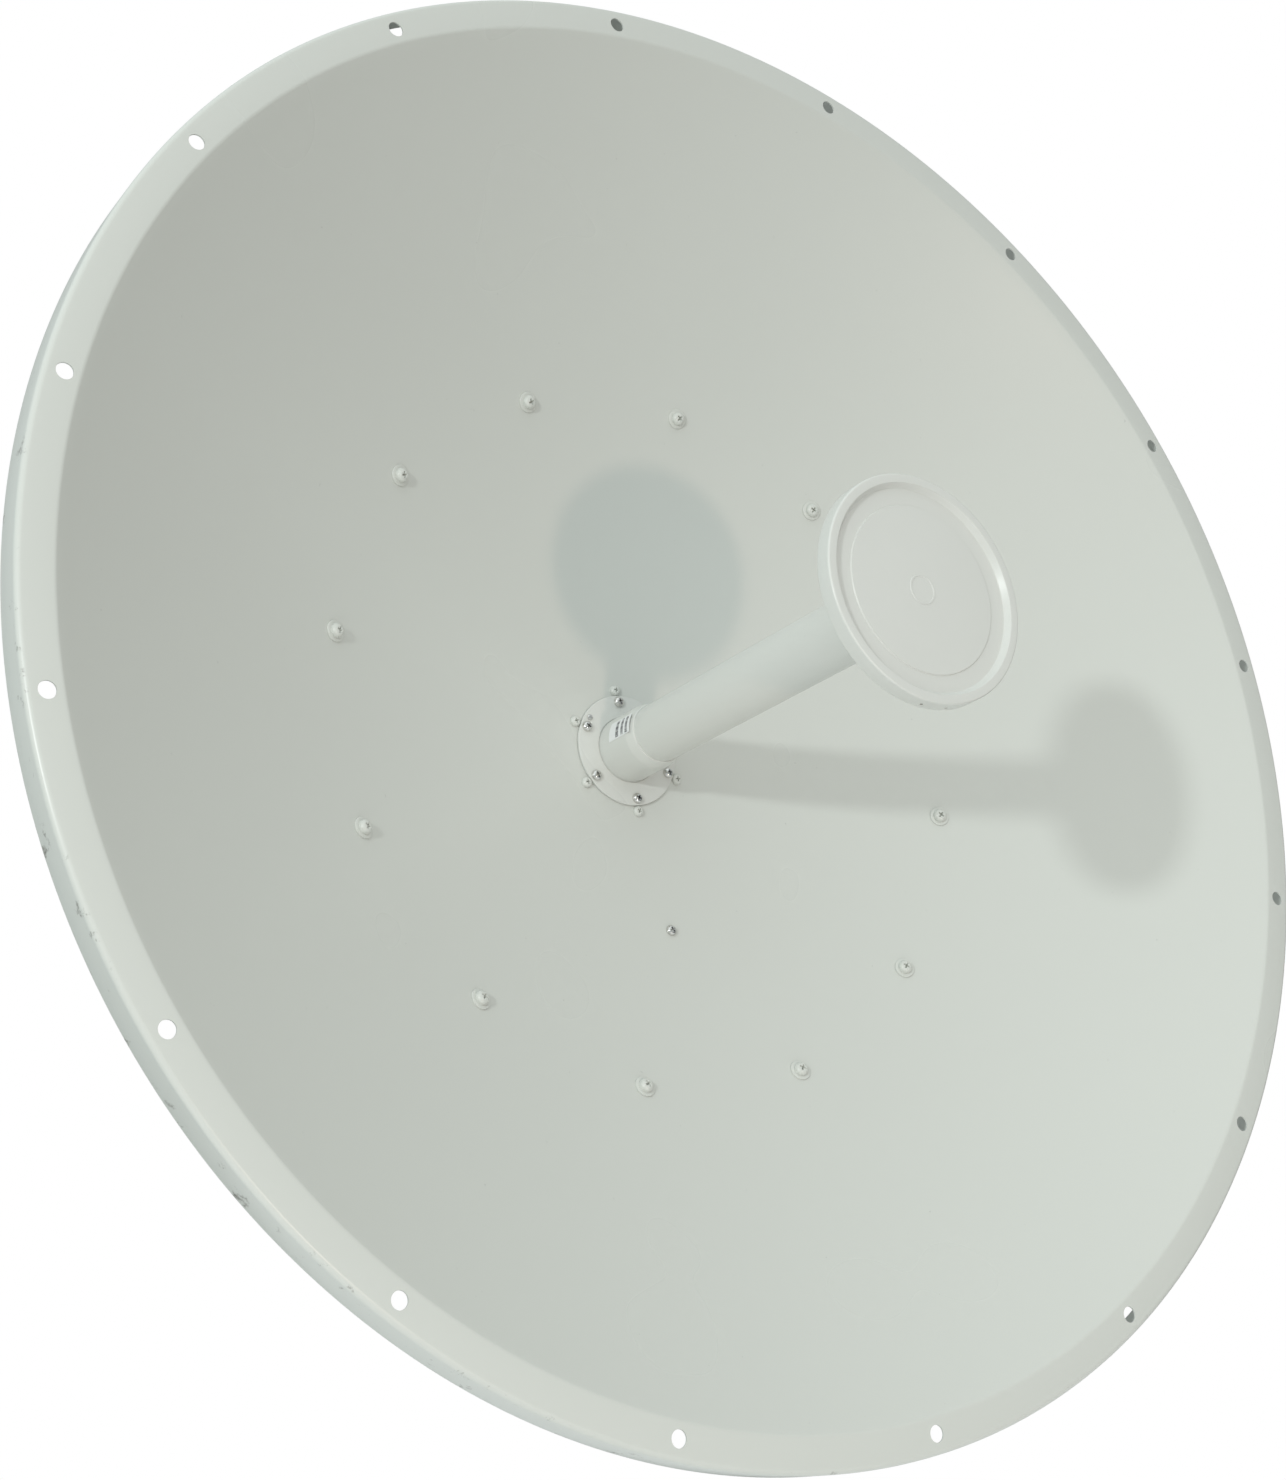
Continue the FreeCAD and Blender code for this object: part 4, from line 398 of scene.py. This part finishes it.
CAD_FINISH = {
    "dish_paint": PLAIN_PAINT, "painted_screws": LIGHTENED_SCREW_PAINT, "zinc_fasteners": ZINC,
    "bright_screws": BRIGHT, "cast_aluminium": CAST, "feed_metal": FEED_PAINT,
    "bare_aluminium": BARE, "gasket_rubber": RUBBER, "cap_plastic": CAP, "dielectric": DIELECTRIC,
    "label_film": PAPER, "plated_brass": BRASS, "galvanised": ZINC_DIP,
}
for entry in frame["record"]["subparts"]:
    node = frame["nodes"][entry["node"]]
    node.data.materials.clear()
    node.data.materials.append(CAD_FINISH[entry["material_slot"]])


# ---------------------------------------------------------------- reflector

def parabola(depth, spread, low, high, count):
    """Points of a parabola with its pole at a depth, between two radii; spread is four focal lengths."""
    radii = [low + (high - low) * step / count for step in range(count + 1)]
    return [(radius, depth - radius ** 2 / spread) for radius in radii]


def build_reflector():
    """The pressed sheet: seat, bowl, flat rim and turned-back skirt, drilled through the rim."""
    slope = 2 * BOWL_DEPTH / EDGE_RADIUS
    rear_depth = BOWL_DEPTH + SHEET
    rear_4f = EDGE_RADIUS ** 2 / (rear_depth - SHEET * math.sqrt(1 + slope ** 2))
    rear_edge = math.sqrt(rear_4f * BOWL_DEPTH)
    rear_seat = SEAT_RADIUS * math.sqrt(rear_4f / FRONT_4F)
    front = parabola(BOWL_DEPTH, FRONT_4F, SEAT_RADIUS, EDGE_RADIUS, 56)
    rear = parabola(rear_depth, rear_4f, rear_seat, rear_edge, 56)
    inner = RIM_RADIUS - SHEET
    profile = rounded(
        [(SEAT_HOLE, SEAT_DEPTH)] + front[:-1]
        + [(EDGE_RADIUS, 0, 5), (RIM_RADIUS, 0, 4), (RIM_RADIUS, SKIRT_END, 0.4),
           (inner, SKIRT_END, 0.4), (inner, SHEET, 2.8), (rear_edge, SHEET, 6.2)]
        + rear[-2::-1] + [(SEAT_HOLE, SEAT_DEPTH + SHEET)])
    mesh = lathe(profile, 360)
    pattern = MOUNTS["rim_holes"]["dims"]
    count, hole = pattern["count"], pattern["hole_r_mm"]
    drill = lathe([(0, -6), (hole, -6), (hole, 8), (0, 8)], 40, own_axis, False)
    drills = []
    for index in range(count):
        centre = spot(pattern["pcd_mm"] / 2, 0, RIM_CLOCK + 360 * index / count)
        drills.append((drill, facing(centre, (0, 1, 0))))
    piece("reflector_bowl", carve(mesh, joined(drills)), PAINT, "dish", "dish_paint",
          "reflector", sharp=35)


# ---------------------------------------------------------------- screws

def cross_recess(width, across, depth):
    """A cutter with the shape of a tapered cross, its top at height 0."""
    half, arm = width / 2, across / 2
    plan = [(half, half), (arm, half), (arm, -half), (half, -half), (half, -arm), (-half, -arm),
            (-half, -half), (-arm, -half), (-arm, half), (-half, half), (-half, arm), (half, arm)]
    verts = [Vector((x * MM, y * MM, 0.6 * MM)) for x, y in plan]
    verts += [Vector((x * 0.45 * MM, y * 0.45 * MM, -depth * MM)) for x, y in plan]
    size = len(plan)
    faces = [list(range(size)), list(range(2 * size - 1, size - 1, -1))]
    faces += [[at, at + size, (at + 1) % size + size, (at + 1) % size] for at in range(size)]
    return mesh_of(verts, faces)


def pan_screw(head, tall, shank, long, slotted=False):
    """A pan head screw: its head's underside at height 0, its shank below."""
    radius = head / 2
    crown = [(radius * math.cos(math.radians(angle)) * 0.62 + radius * 0.38,
              tall * (0.25 + 0.75 * math.sin(math.radians(angle)))) for angle in range(0, 90, 10)]
    profile = [(0, -long), (shank / 2 - 0.4, -long), (shank / 2, -long + 0.5), (shank / 2, 0),
               (radius - 0.15, 0), (radius, 0.15)] + crown + [(radius * 0.3, tall), (0, tall)]
    mesh = lathe(profile, 48, own_axis, False)
    if slotted:
        cutter = cross_recess(0.8, 0.8, 0.9)
        cutter.transform(Matrix.Diagonal((8, 1, 1, 1)))
    else:
        cutter = cross_recess(head * 0.15, head * 0.56, tall * 0.7)
    cutter.transform(Matrix.Translation((0, 0, tall * MM)))
    return carve(mesh, cutter)


def flat_washer(inner, outer, thick):
    """A washer of given radii, from height 0 up."""
    ring = rounded([(inner, 0, 0.1), (outer, 0, 0.2), (outer, thick, 0.35), (inner, thick, 0.1)], 4)
    return lathe(ring, 64, own_axis)


def build_screws():
    """The ring's screws on washers, then the feed's own screws and the single one below it."""
    ring_screw = pan_screw(10.4, 4.1, 5, 14)
    thick = 1.2
    ring_washer = flat_washer(2.75, 7.7, thick)
    screws, washers = [], []
    for index in range(RING_SCREWS):
        clock = RING_CLOCK + 360 / RING_SCREWS * index
        turn = random.uniform(0, 90)
        washers.append((ring_washer, on_bowl(RING_RADIUS, clock, SCREW_LIFT)))
        screws.append((ring_screw, on_bowl(RING_RADIUS, clock, SCREW_LIFT + thick, turn)))
    piece("ring_screw_set", joined(screws), LIGHTENED_SCREW_PAINT, "dish", "painted_screws", "ring_screws")
    piece("ring_washer_set", joined(washers), LIGHTENED_SCREW_PAINT, "dish", "painted_screws", "ring_washers")

    small = pan_screw(8.2, 3.4, 4, 12)
    front = (0, -1, 0)
    inner, outer = [], []
    for index in range(FEED_SCREWS):
        clock = 360 / FEED_SCREWS * index
        for found, radius, depth in ((inner, FEED_SCREW_RADIUS, FLANGE_DEPTH),
                                     (outer, HUB_SCREW_RADIUS, SEAT_DEPTH)):
            found.append((small, facing(spot(radius, depth, clock), front, random.uniform(0, 90))))
    piece("feed_screw_set", joined(inner), BRIGHT, "dish", "bright_screws", "feed_screws")
    piece("hub_screw_set", joined(outer), LIGHTENED_SCREW_PAINT, "dish", "painted_screws", "hub_screws")
    tiny = pan_screw(4.8, 1.3, 2.8, 7, slotted=True)
    place = facing(spot(38.9, FLANGE_DEPTH, 312.5), front, 12)
    piece("locating_screw_slotted", joined([(tiny, place)]), BRIGHT, "dish", "bright_screws",
          "locating_screw")
    place = on_bowl(FOOT_RADIUS, 180, SCREW_LIFT, 20)
    piece("foot_screw_bright", joined([(small, place)]), BRIGHT, "dish", "bright_screws", "foot_screw")


# ---------------------------------------------------------------- feed

def build_feed():
    """The flange with its collar and fillet, and the tube that stands in it."""
    end, blend, face = 188.3, FLANGE_DEPTH + 0.7, FLANGE_DEPTH + 2
    bore, step = 20.05, 22.05
    profile = rounded([(bore, end), (COLLAR_RADIUS, end, 0.5), (COLLAR_RADIUS, face),
                       (FLANGE_RADIUS, face, 0.2), (FLANGE_RADIUS, FLANGE_DEPTH, 0.5),
                       (COLLAR_RADIUS + 0.7, FLANGE_DEPTH, 0.2), (COLLAR_RADIUS + 0.5, blend),
                       (COLLAR_RADIUS, blend), (COLLAR_RADIUS, 139.5, 14), (23.0, 131, 0.5),
                       (step, 131), (step, TUBE_FOOT), (bore, TUBE_FOOT)])
    piece("feed_flange_collar", lathe(profile, 160), FEED_PAINT, "dish", "feed_metal", "feed_flange")
    front = (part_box("feed_tube")[0][1] - RIM_Y) / MM
    tube = rounded([(TUBE_BORE, TUBE_FOOT), (TUBE_RADIUS, TUBE_FOOT), (TUBE_RADIUS, front, 0.3),
                    (TUBE_BORE, front, 0.3)], 4)
    piece("feed_tube_fine", lathe(tube, 160), FEED_PAINT, "dish", "feed_metal", "feed_tube")


def build_cap():
    """The cap's front: raised outer ring, bevel, floor with a step, and a small plain raised mark."""
    floor = CAP_FRONT + 4.2
    raised, mark = floor - 0.8, floor - 1.15
    inside = floor + 2
    wall = CAP_RADIUS - 2
    profile = rounded([(0, raised), (8.8, raised), (9.0, mark, 0.1), (10.2, mark, 0.1),
                       (10.4, raised), (57.1, raised, 0.3), (57.6, floor, 0.2), (69.0, floor, 0.9),
                       (71.6, CAP_FRONT, 0.7), (CAP_RADIUS, CAP_FRONT, 1.4), (CAP_RADIUS, CAP_BACK, 1.1),
                       (wall, CAP_BACK, 0.4), (wall, inside, 0.5), (0, inside)], 8)
    mesh = lathe(profile, 220, ring=False)
    drill = lathe([(0, 0), (1.2, 0), (1.2, 9), (0, 9)], 28, own_axis, False)
    drills = []
    for clock in (180, 195):
        centre = spot(CAP_RADIUS + 3, (CAP_FRONT + CAP_BACK) / 2 + 1, clock)
        drills.append((drill, facing(centre, spot(-1, -RIM_Y / MM, clock))))
    piece("feed_cap_fine", carve(mesh, joined(drills)), CAP, "dish", "cap_plastic", "feed_cap", sharp=40)


def build_label():
    """A printed film around the collar, with rows of plain bars in place of words."""
    columns, rows = 90, 44
    low, high = 133.0, 160.5
    radius, start, sweep = 25.16, 275, 36
    bars = [random.random() < 0.72 for _ in range(columns)]
    bands = [(5, 10), (14, 19), (24, 30)]
    grid = [spot(radius, low + (high - low) * row / rows, start + sweep * column / columns)
            for row in range(rows + 1) for column in range(columns + 1)]
    faces, inks = [], []
    for row in range(rows):
        for column in range(columns):
            first = row * (columns + 1) + column
            faces.append([first, first + 1, first + columns + 2, first + columns + 1])
            printed = 5 < column < columns - 8
            band = next((at for at, (begin, end) in enumerate(bands) if begin <= row < end), None)
            inks.append(int(printed and band is not None and bars[(column + 13 * band) % columns]))
    film = piece("feed_label_printed", mesh_of(grid, faces), [PAPER, INK], "dish", "label_film",
                 "feed_label")
    film.data.polygons.foreach_set("material_index", inks)


# ---------------------------------------------------------------- mount hardware

def threaded_rod(radius, pitch, low, high, plain):
    """A rod along z from low to high, plain up to a height and threaded above it, chamfered at its end."""
    around, per_turn, deep = 24, 8, pitch * 0.54
    heights = [low, plain]
    steps = int((high - plain) / pitch * per_turn)
    heights += [plain + (high - plain) * (step + 1) / steps for step in range(steps)]
    verts, faces = [], []
    for height in heights:
        for step in range(around):
            wave = abs(((height / pitch - step / around) % 1) * 2 - 1)
            depth = deep * (1 - wave) if height > plain else 0
            reach = min(radius - depth, radius - 0.9 + max(0, high - height))
            verts.append(own_axis(reach, height, 360 * step / around))
    for row in range(len(heights) - 1):
        for step in range(around):
            first, after = row * around + step, row * around + (step + 1) % around
            faces.append([first, after, after + around, first + around])
    faces.append(list(range(around - 1, -1, -1)))
    faces.append([len(verts) - around + step for step in range(around)])
    return mesh_of(verts, faces)


def hexagon(flats, tall, hole=0.0, both=False):
    """A hexagon head or nut along z from 0 to tall, its corners turned off by a cone."""
    reach = flats / ROOT_3
    angles = [math.radians(60 * at) for at in range(6)]
    plan = [(reach * math.cos(angle), reach * math.sin(angle)) for angle in angles]
    verts = [Vector((x * MM, y * MM, z * MM)) for z in (0, tall) for x, y in plan]
    faces = [[5, 4, 3, 2, 1, 0], [6, 7, 8, 9, 10, 11]]
    faces += [[at, (at + 1) % 6, (at + 1) % 6 + 6, at + 6] for at in range(6)]
    chamfer = (reach - flats / 2) * 0.62
    cone = [(flats / 2 - 0.2, tall), (reach + 0.1, tall - chamfer)]
    cone += [(reach + 0.1, chamfer), (flats / 2 - 0.2, 0)] if both else [(reach + 0.1, 0)]
    profile = [(hole, tall)] + cone + [(hole, 0)]
    turned = lathe(profile, 64, own_axis, ring=hole > 0)
    return carve(mesh_of(verts, faces), turned, "INTERSECT")


def bolt(radius, pitch, flats, head, long, plain):
    """A hexagon bolt: its head's underside at height 0, its shank below."""
    rod = threaded_rod(radius, pitch, 0.02, long, plain)
    return joined([(hexagon(flats, head), Matrix.Identity(4)),
                   (rod, Matrix.Rotation(math.pi, 4, "X"))])


def hardware(node, mesh, body, places, name=None):
    """One piece made of equal zinc-plated fasteners, in place of their CAD node."""
    piece(name or node + "_fine", joined([(mesh, at) for at in places]), ZINC, body,
          "zinc_fasteners", node)


def build_mount_bolts():
    """Every bolt, washer and nut of the mount, at the places of its CAD node."""
    def ends(node):
        low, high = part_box(node)
        return [at / MM for at in low], [at / MM for at in high]

    m10_nut = hexagon(M10_FLATS, M10_NUT, 5.05, both=True)
    m8_nut = hexagon(M8_FLATS, M8_NUT, 4.05, both=True)
    m10_washer, m8_washer = flat_washer(5.05, 10, M10_WASHER), flat_washer(4.05, 8, M8_WASHER)
    sides = (-1, 1)

    # clamp bolts run back along +y from the bracket's web
    across, level, head_y = 47, 68, -42.5
    clamp = bolt(5, M10_PITCH, M10_FLATS, M10_HEAD, ends("clamp_bolts")[1][1] - head_y, 30)
    places = [facing((sx * across * MM, head_y * MM, sz * level * MM), (0, -1, 0), 30)
              for sx in sides for sz in sides]
    hardware("clamp_bolts", clamp, "pole_bracket", places, "clamp_bolt_set")
    for name, sz in (("upper", 1), ("lower", -1)):
        for kind, mesh in (("washers", m10_washer), ("nuts", m10_nut)):
            node = f"{name}_jaw_{kind}"
            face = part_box(node)[0][1]
            places = [facing((sx * across * MM, face, sz * level * MM), (0, 1, 0), 30) for sx in sides]
            hardware(node, mesh, f"{name}_jaw", places)

    # tilt bolts lie along x: the two pivots, and above each a bolt in the arc slot
    pivot_y, slot_height, plain = -138, 62, 4
    face = ends("tilt_bolts")[1][0] - M10_HEAD
    tilt = bolt(5, M10_PITCH, M10_FLATS, M10_HEAD, face - 44.7, plain)
    for node, mesh, face in (("tilt_bolts", tilt, face),
                             ("tilt_washers", m10_washer, ends("tilt_washers")[1][0] - M10_WASHER),
                             ("tilt_nuts", m10_nut, ends("tilt_nuts")[1][0] - M10_NUT)):
        places = [facing((side * face * MM, pivot_y * MM, height * MM), (side, 0, 0), 30)
                  for side in sides for height in (0, slot_height)]
        hardware(node, mesh, "yoke", places)

    # turn bolts stand along z: a pivot and two slot bolts in each flange of the yoke
    turn_y, plain = -80, 6
    face = ends("turn_bolts")[1][2] - M10_HEAD
    turn = bolt(5, M10_PITCH, M10_FLATS, M10_HEAD, face - 82.7, plain)
    for node, mesh, face in (("turn_bolts", turn, face),
                             ("turn_washers", m10_washer, ends("turn_washers")[1][2] - M10_WASHER),
                             ("turn_nuts", m10_nut, ends("turn_nuts")[1][2] - M10_NUT)):
        places = [facing((x * MM, turn_y * MM, side * face * MM), (0, 0, side), 30)
                  for side in sides for x in (-40, 0, 40)]
        hardware(node, mesh, "pole_bracket", places)

    # arm bolts run forward along -y, through the arms' feet and the ring
    across, plain = 84, 4
    face = ends("arm_bolts")[1][1] - M8_HEAD
    arm = bolt(4, M8_PITCH, M8_FLATS, M8_HEAD, face - ends("arm_bolts")[0][1], plain)
    for node, mesh, face in (("arm_bolts", arm, face),
                             ("arm_washers", m8_washer, ends("arm_washers")[0][1]),
                             ("arm_nuts", m8_nut, ends("arm_nuts")[0][1])):
        places = [facing((sx * across * MM, face * MM, sz * height * MM), (0, 1, 0), 30)
                  for sx in sides for sz in sides for height in (165, 200)]
        hardware(node, mesh, "dish", places)


build_reflector()
build_screws()
build_feed()
build_cap()
build_label()
build_mount_bolts()


# ---------------------------------------------------------------- stage, light and camera

SKY = ((-0.25, -0.35, 0.90), 1.1)            # where a broad soft light comes from, and its strength
WINDOW = ((-0.85, -0.50, 0.10), 0.22)
FLOOR_DROP = 0.9                             # metres from the dish's lowest point down to the floor


def build_stage():
    """A plain pale floor."""
    low = CAD_BOX[0][2] - FLOOR_DROP
    bpy.ops.mesh.primitive_circle_add(vertices=96, radius=2.5, fill_type="NGON", location=(0, 0, low))
    floor = bpy.context.object
    floor.name = "floor"
    n = Nodes("pale_floor")
    tone = n.mix(n.noise(2, 3), (0.88, 0.88, 0.88), (0.92, 0.92, 0.92))
    n.finish(tone, n.spread(n.noise(6), 0.3, 0.7, 0.8, 0.95), Emission_Color=(1, 1, 1, 1),
             Emission_Strength=0.1)
    floor.data.materials.append(n.material)


def build_world():
    """White to the camera; for the light, a pale room that is brightest above and to the left."""
    world = bpy.data.worlds.new("studio")
    bpy.context.scene.world = world
    world.use_nodes = True
    tree = world.node_tree

    def add(kind, **values):
        node = tree.nodes.new(kind)
        for key, value in values.items():
            setattr(node, key, value)
        return node

    seen = tree.nodes["Background"]
    seen.inputs["Color"].default_value = (1, 1, 1, 1)
    seen.inputs["Strength"].default_value = 1.0
    direction = add("ShaderNodeTexCoord").outputs["Generated"]
    total = None                                 # the sum of the lights so far
    for towards, strength in (SKY, WINDOW):
        lean = add("ShaderNodeVectorMath", operation="DOT_PRODUCT")
        tree.links.new(direction, lean.inputs[0])
        lean.inputs[1].default_value = towards
        level = add("ShaderNodeMapRange")
        tree.links.new(lean.outputs["Value"], level.inputs["Value"])
        level.inputs["From Min"].default_value = -1
        falloff = add("ShaderNodeMath", operation="POWER")
        tree.links.new(level.outputs["Result"], falloff.inputs[0])
        falloff.inputs[1].default_value = 2
        part = add("ShaderNodeMath", operation="MULTIPLY_ADD")
        tree.links.new(falloff.outputs[0], part.inputs[0])
        part.inputs[1].default_value = strength
        if total:
            tree.links.new(total, part.inputs[2])
        else:
            part.inputs[2].default_value = 0
        total = part.outputs[0]
    room = add("ShaderNodeBackground")
    room.inputs["Color"].default_value = (0.93, 1.0, 1.0, 1)
    tree.links.new(total, room.inputs["Strength"])
    mix = add("ShaderNodeMixShader")
    tree.links.new(add("ShaderNodeLightPath").outputs["Is Camera Ray"], mix.inputs[0])
    tree.links.new(room.outputs[0], mix.inputs[1])
    tree.links.new(seen.outputs[0], mix.inputs[2])
    tree.links.new(mix.outputs[0], tree.nodes["World Output"].inputs["Surface"])


def area_light(name, towards, size, watts, colour, distance):
    """A soft round light, in the given direction from the feed cap, whose shadow it throws on the bowl."""
    data = bpy.data.lights.new(name, "AREA")
    data.shape, data.size, data.energy, data.color = "DISK", size, watts, colour
    lamp = bpy.data.objects.new(name, data)
    bpy.context.scene.collection.objects.link(lamp)
    towards = Vector(towards).normalized()
    lamp.matrix_world = facing(spot(0, CAP_FRONT + 6, 0) + towards * distance, towards)


def build_camera():
    """Stands in front of the dish, below it and to its left, and looks up at it."""
    data = bpy.data.cameras.new("view")
    data.lens, data.sensor_width, data.clip_start = 53.07, 36, 0.05
    camera = bpy.data.objects.new("view", data)
    bpy.context.scene.collection.objects.link(camera)
    right = Vector((0.8128, -0.5519, -0.1867))
    up = Vector((0.0144, -0.3013, 0.9534))
    ahead = Vector((0.5824, 0.7776, 0.2369))
    turn = Matrix((right, up, -ahead)).transposed().to_4x4()
    camera.matrix_world = Matrix.Translation((-0.9476, RIM_Y - 1.1130, -0.3843)) @ turn
    bpy.context.scene.camera = camera


build_stage()
build_world()
area_light("front_soft", (-0.12, -0.91, -0.39), 0.16, 14, (1.0, 0.78, 0.66), 3.0)
area_light("side_soft", (-0.86, -0.49, 0.16), 0.20, 29, (0.95, 1.0, 1.0), 3.2)
build_camera()
bpy.context.scene.view_settings.view_transform = "Standard"
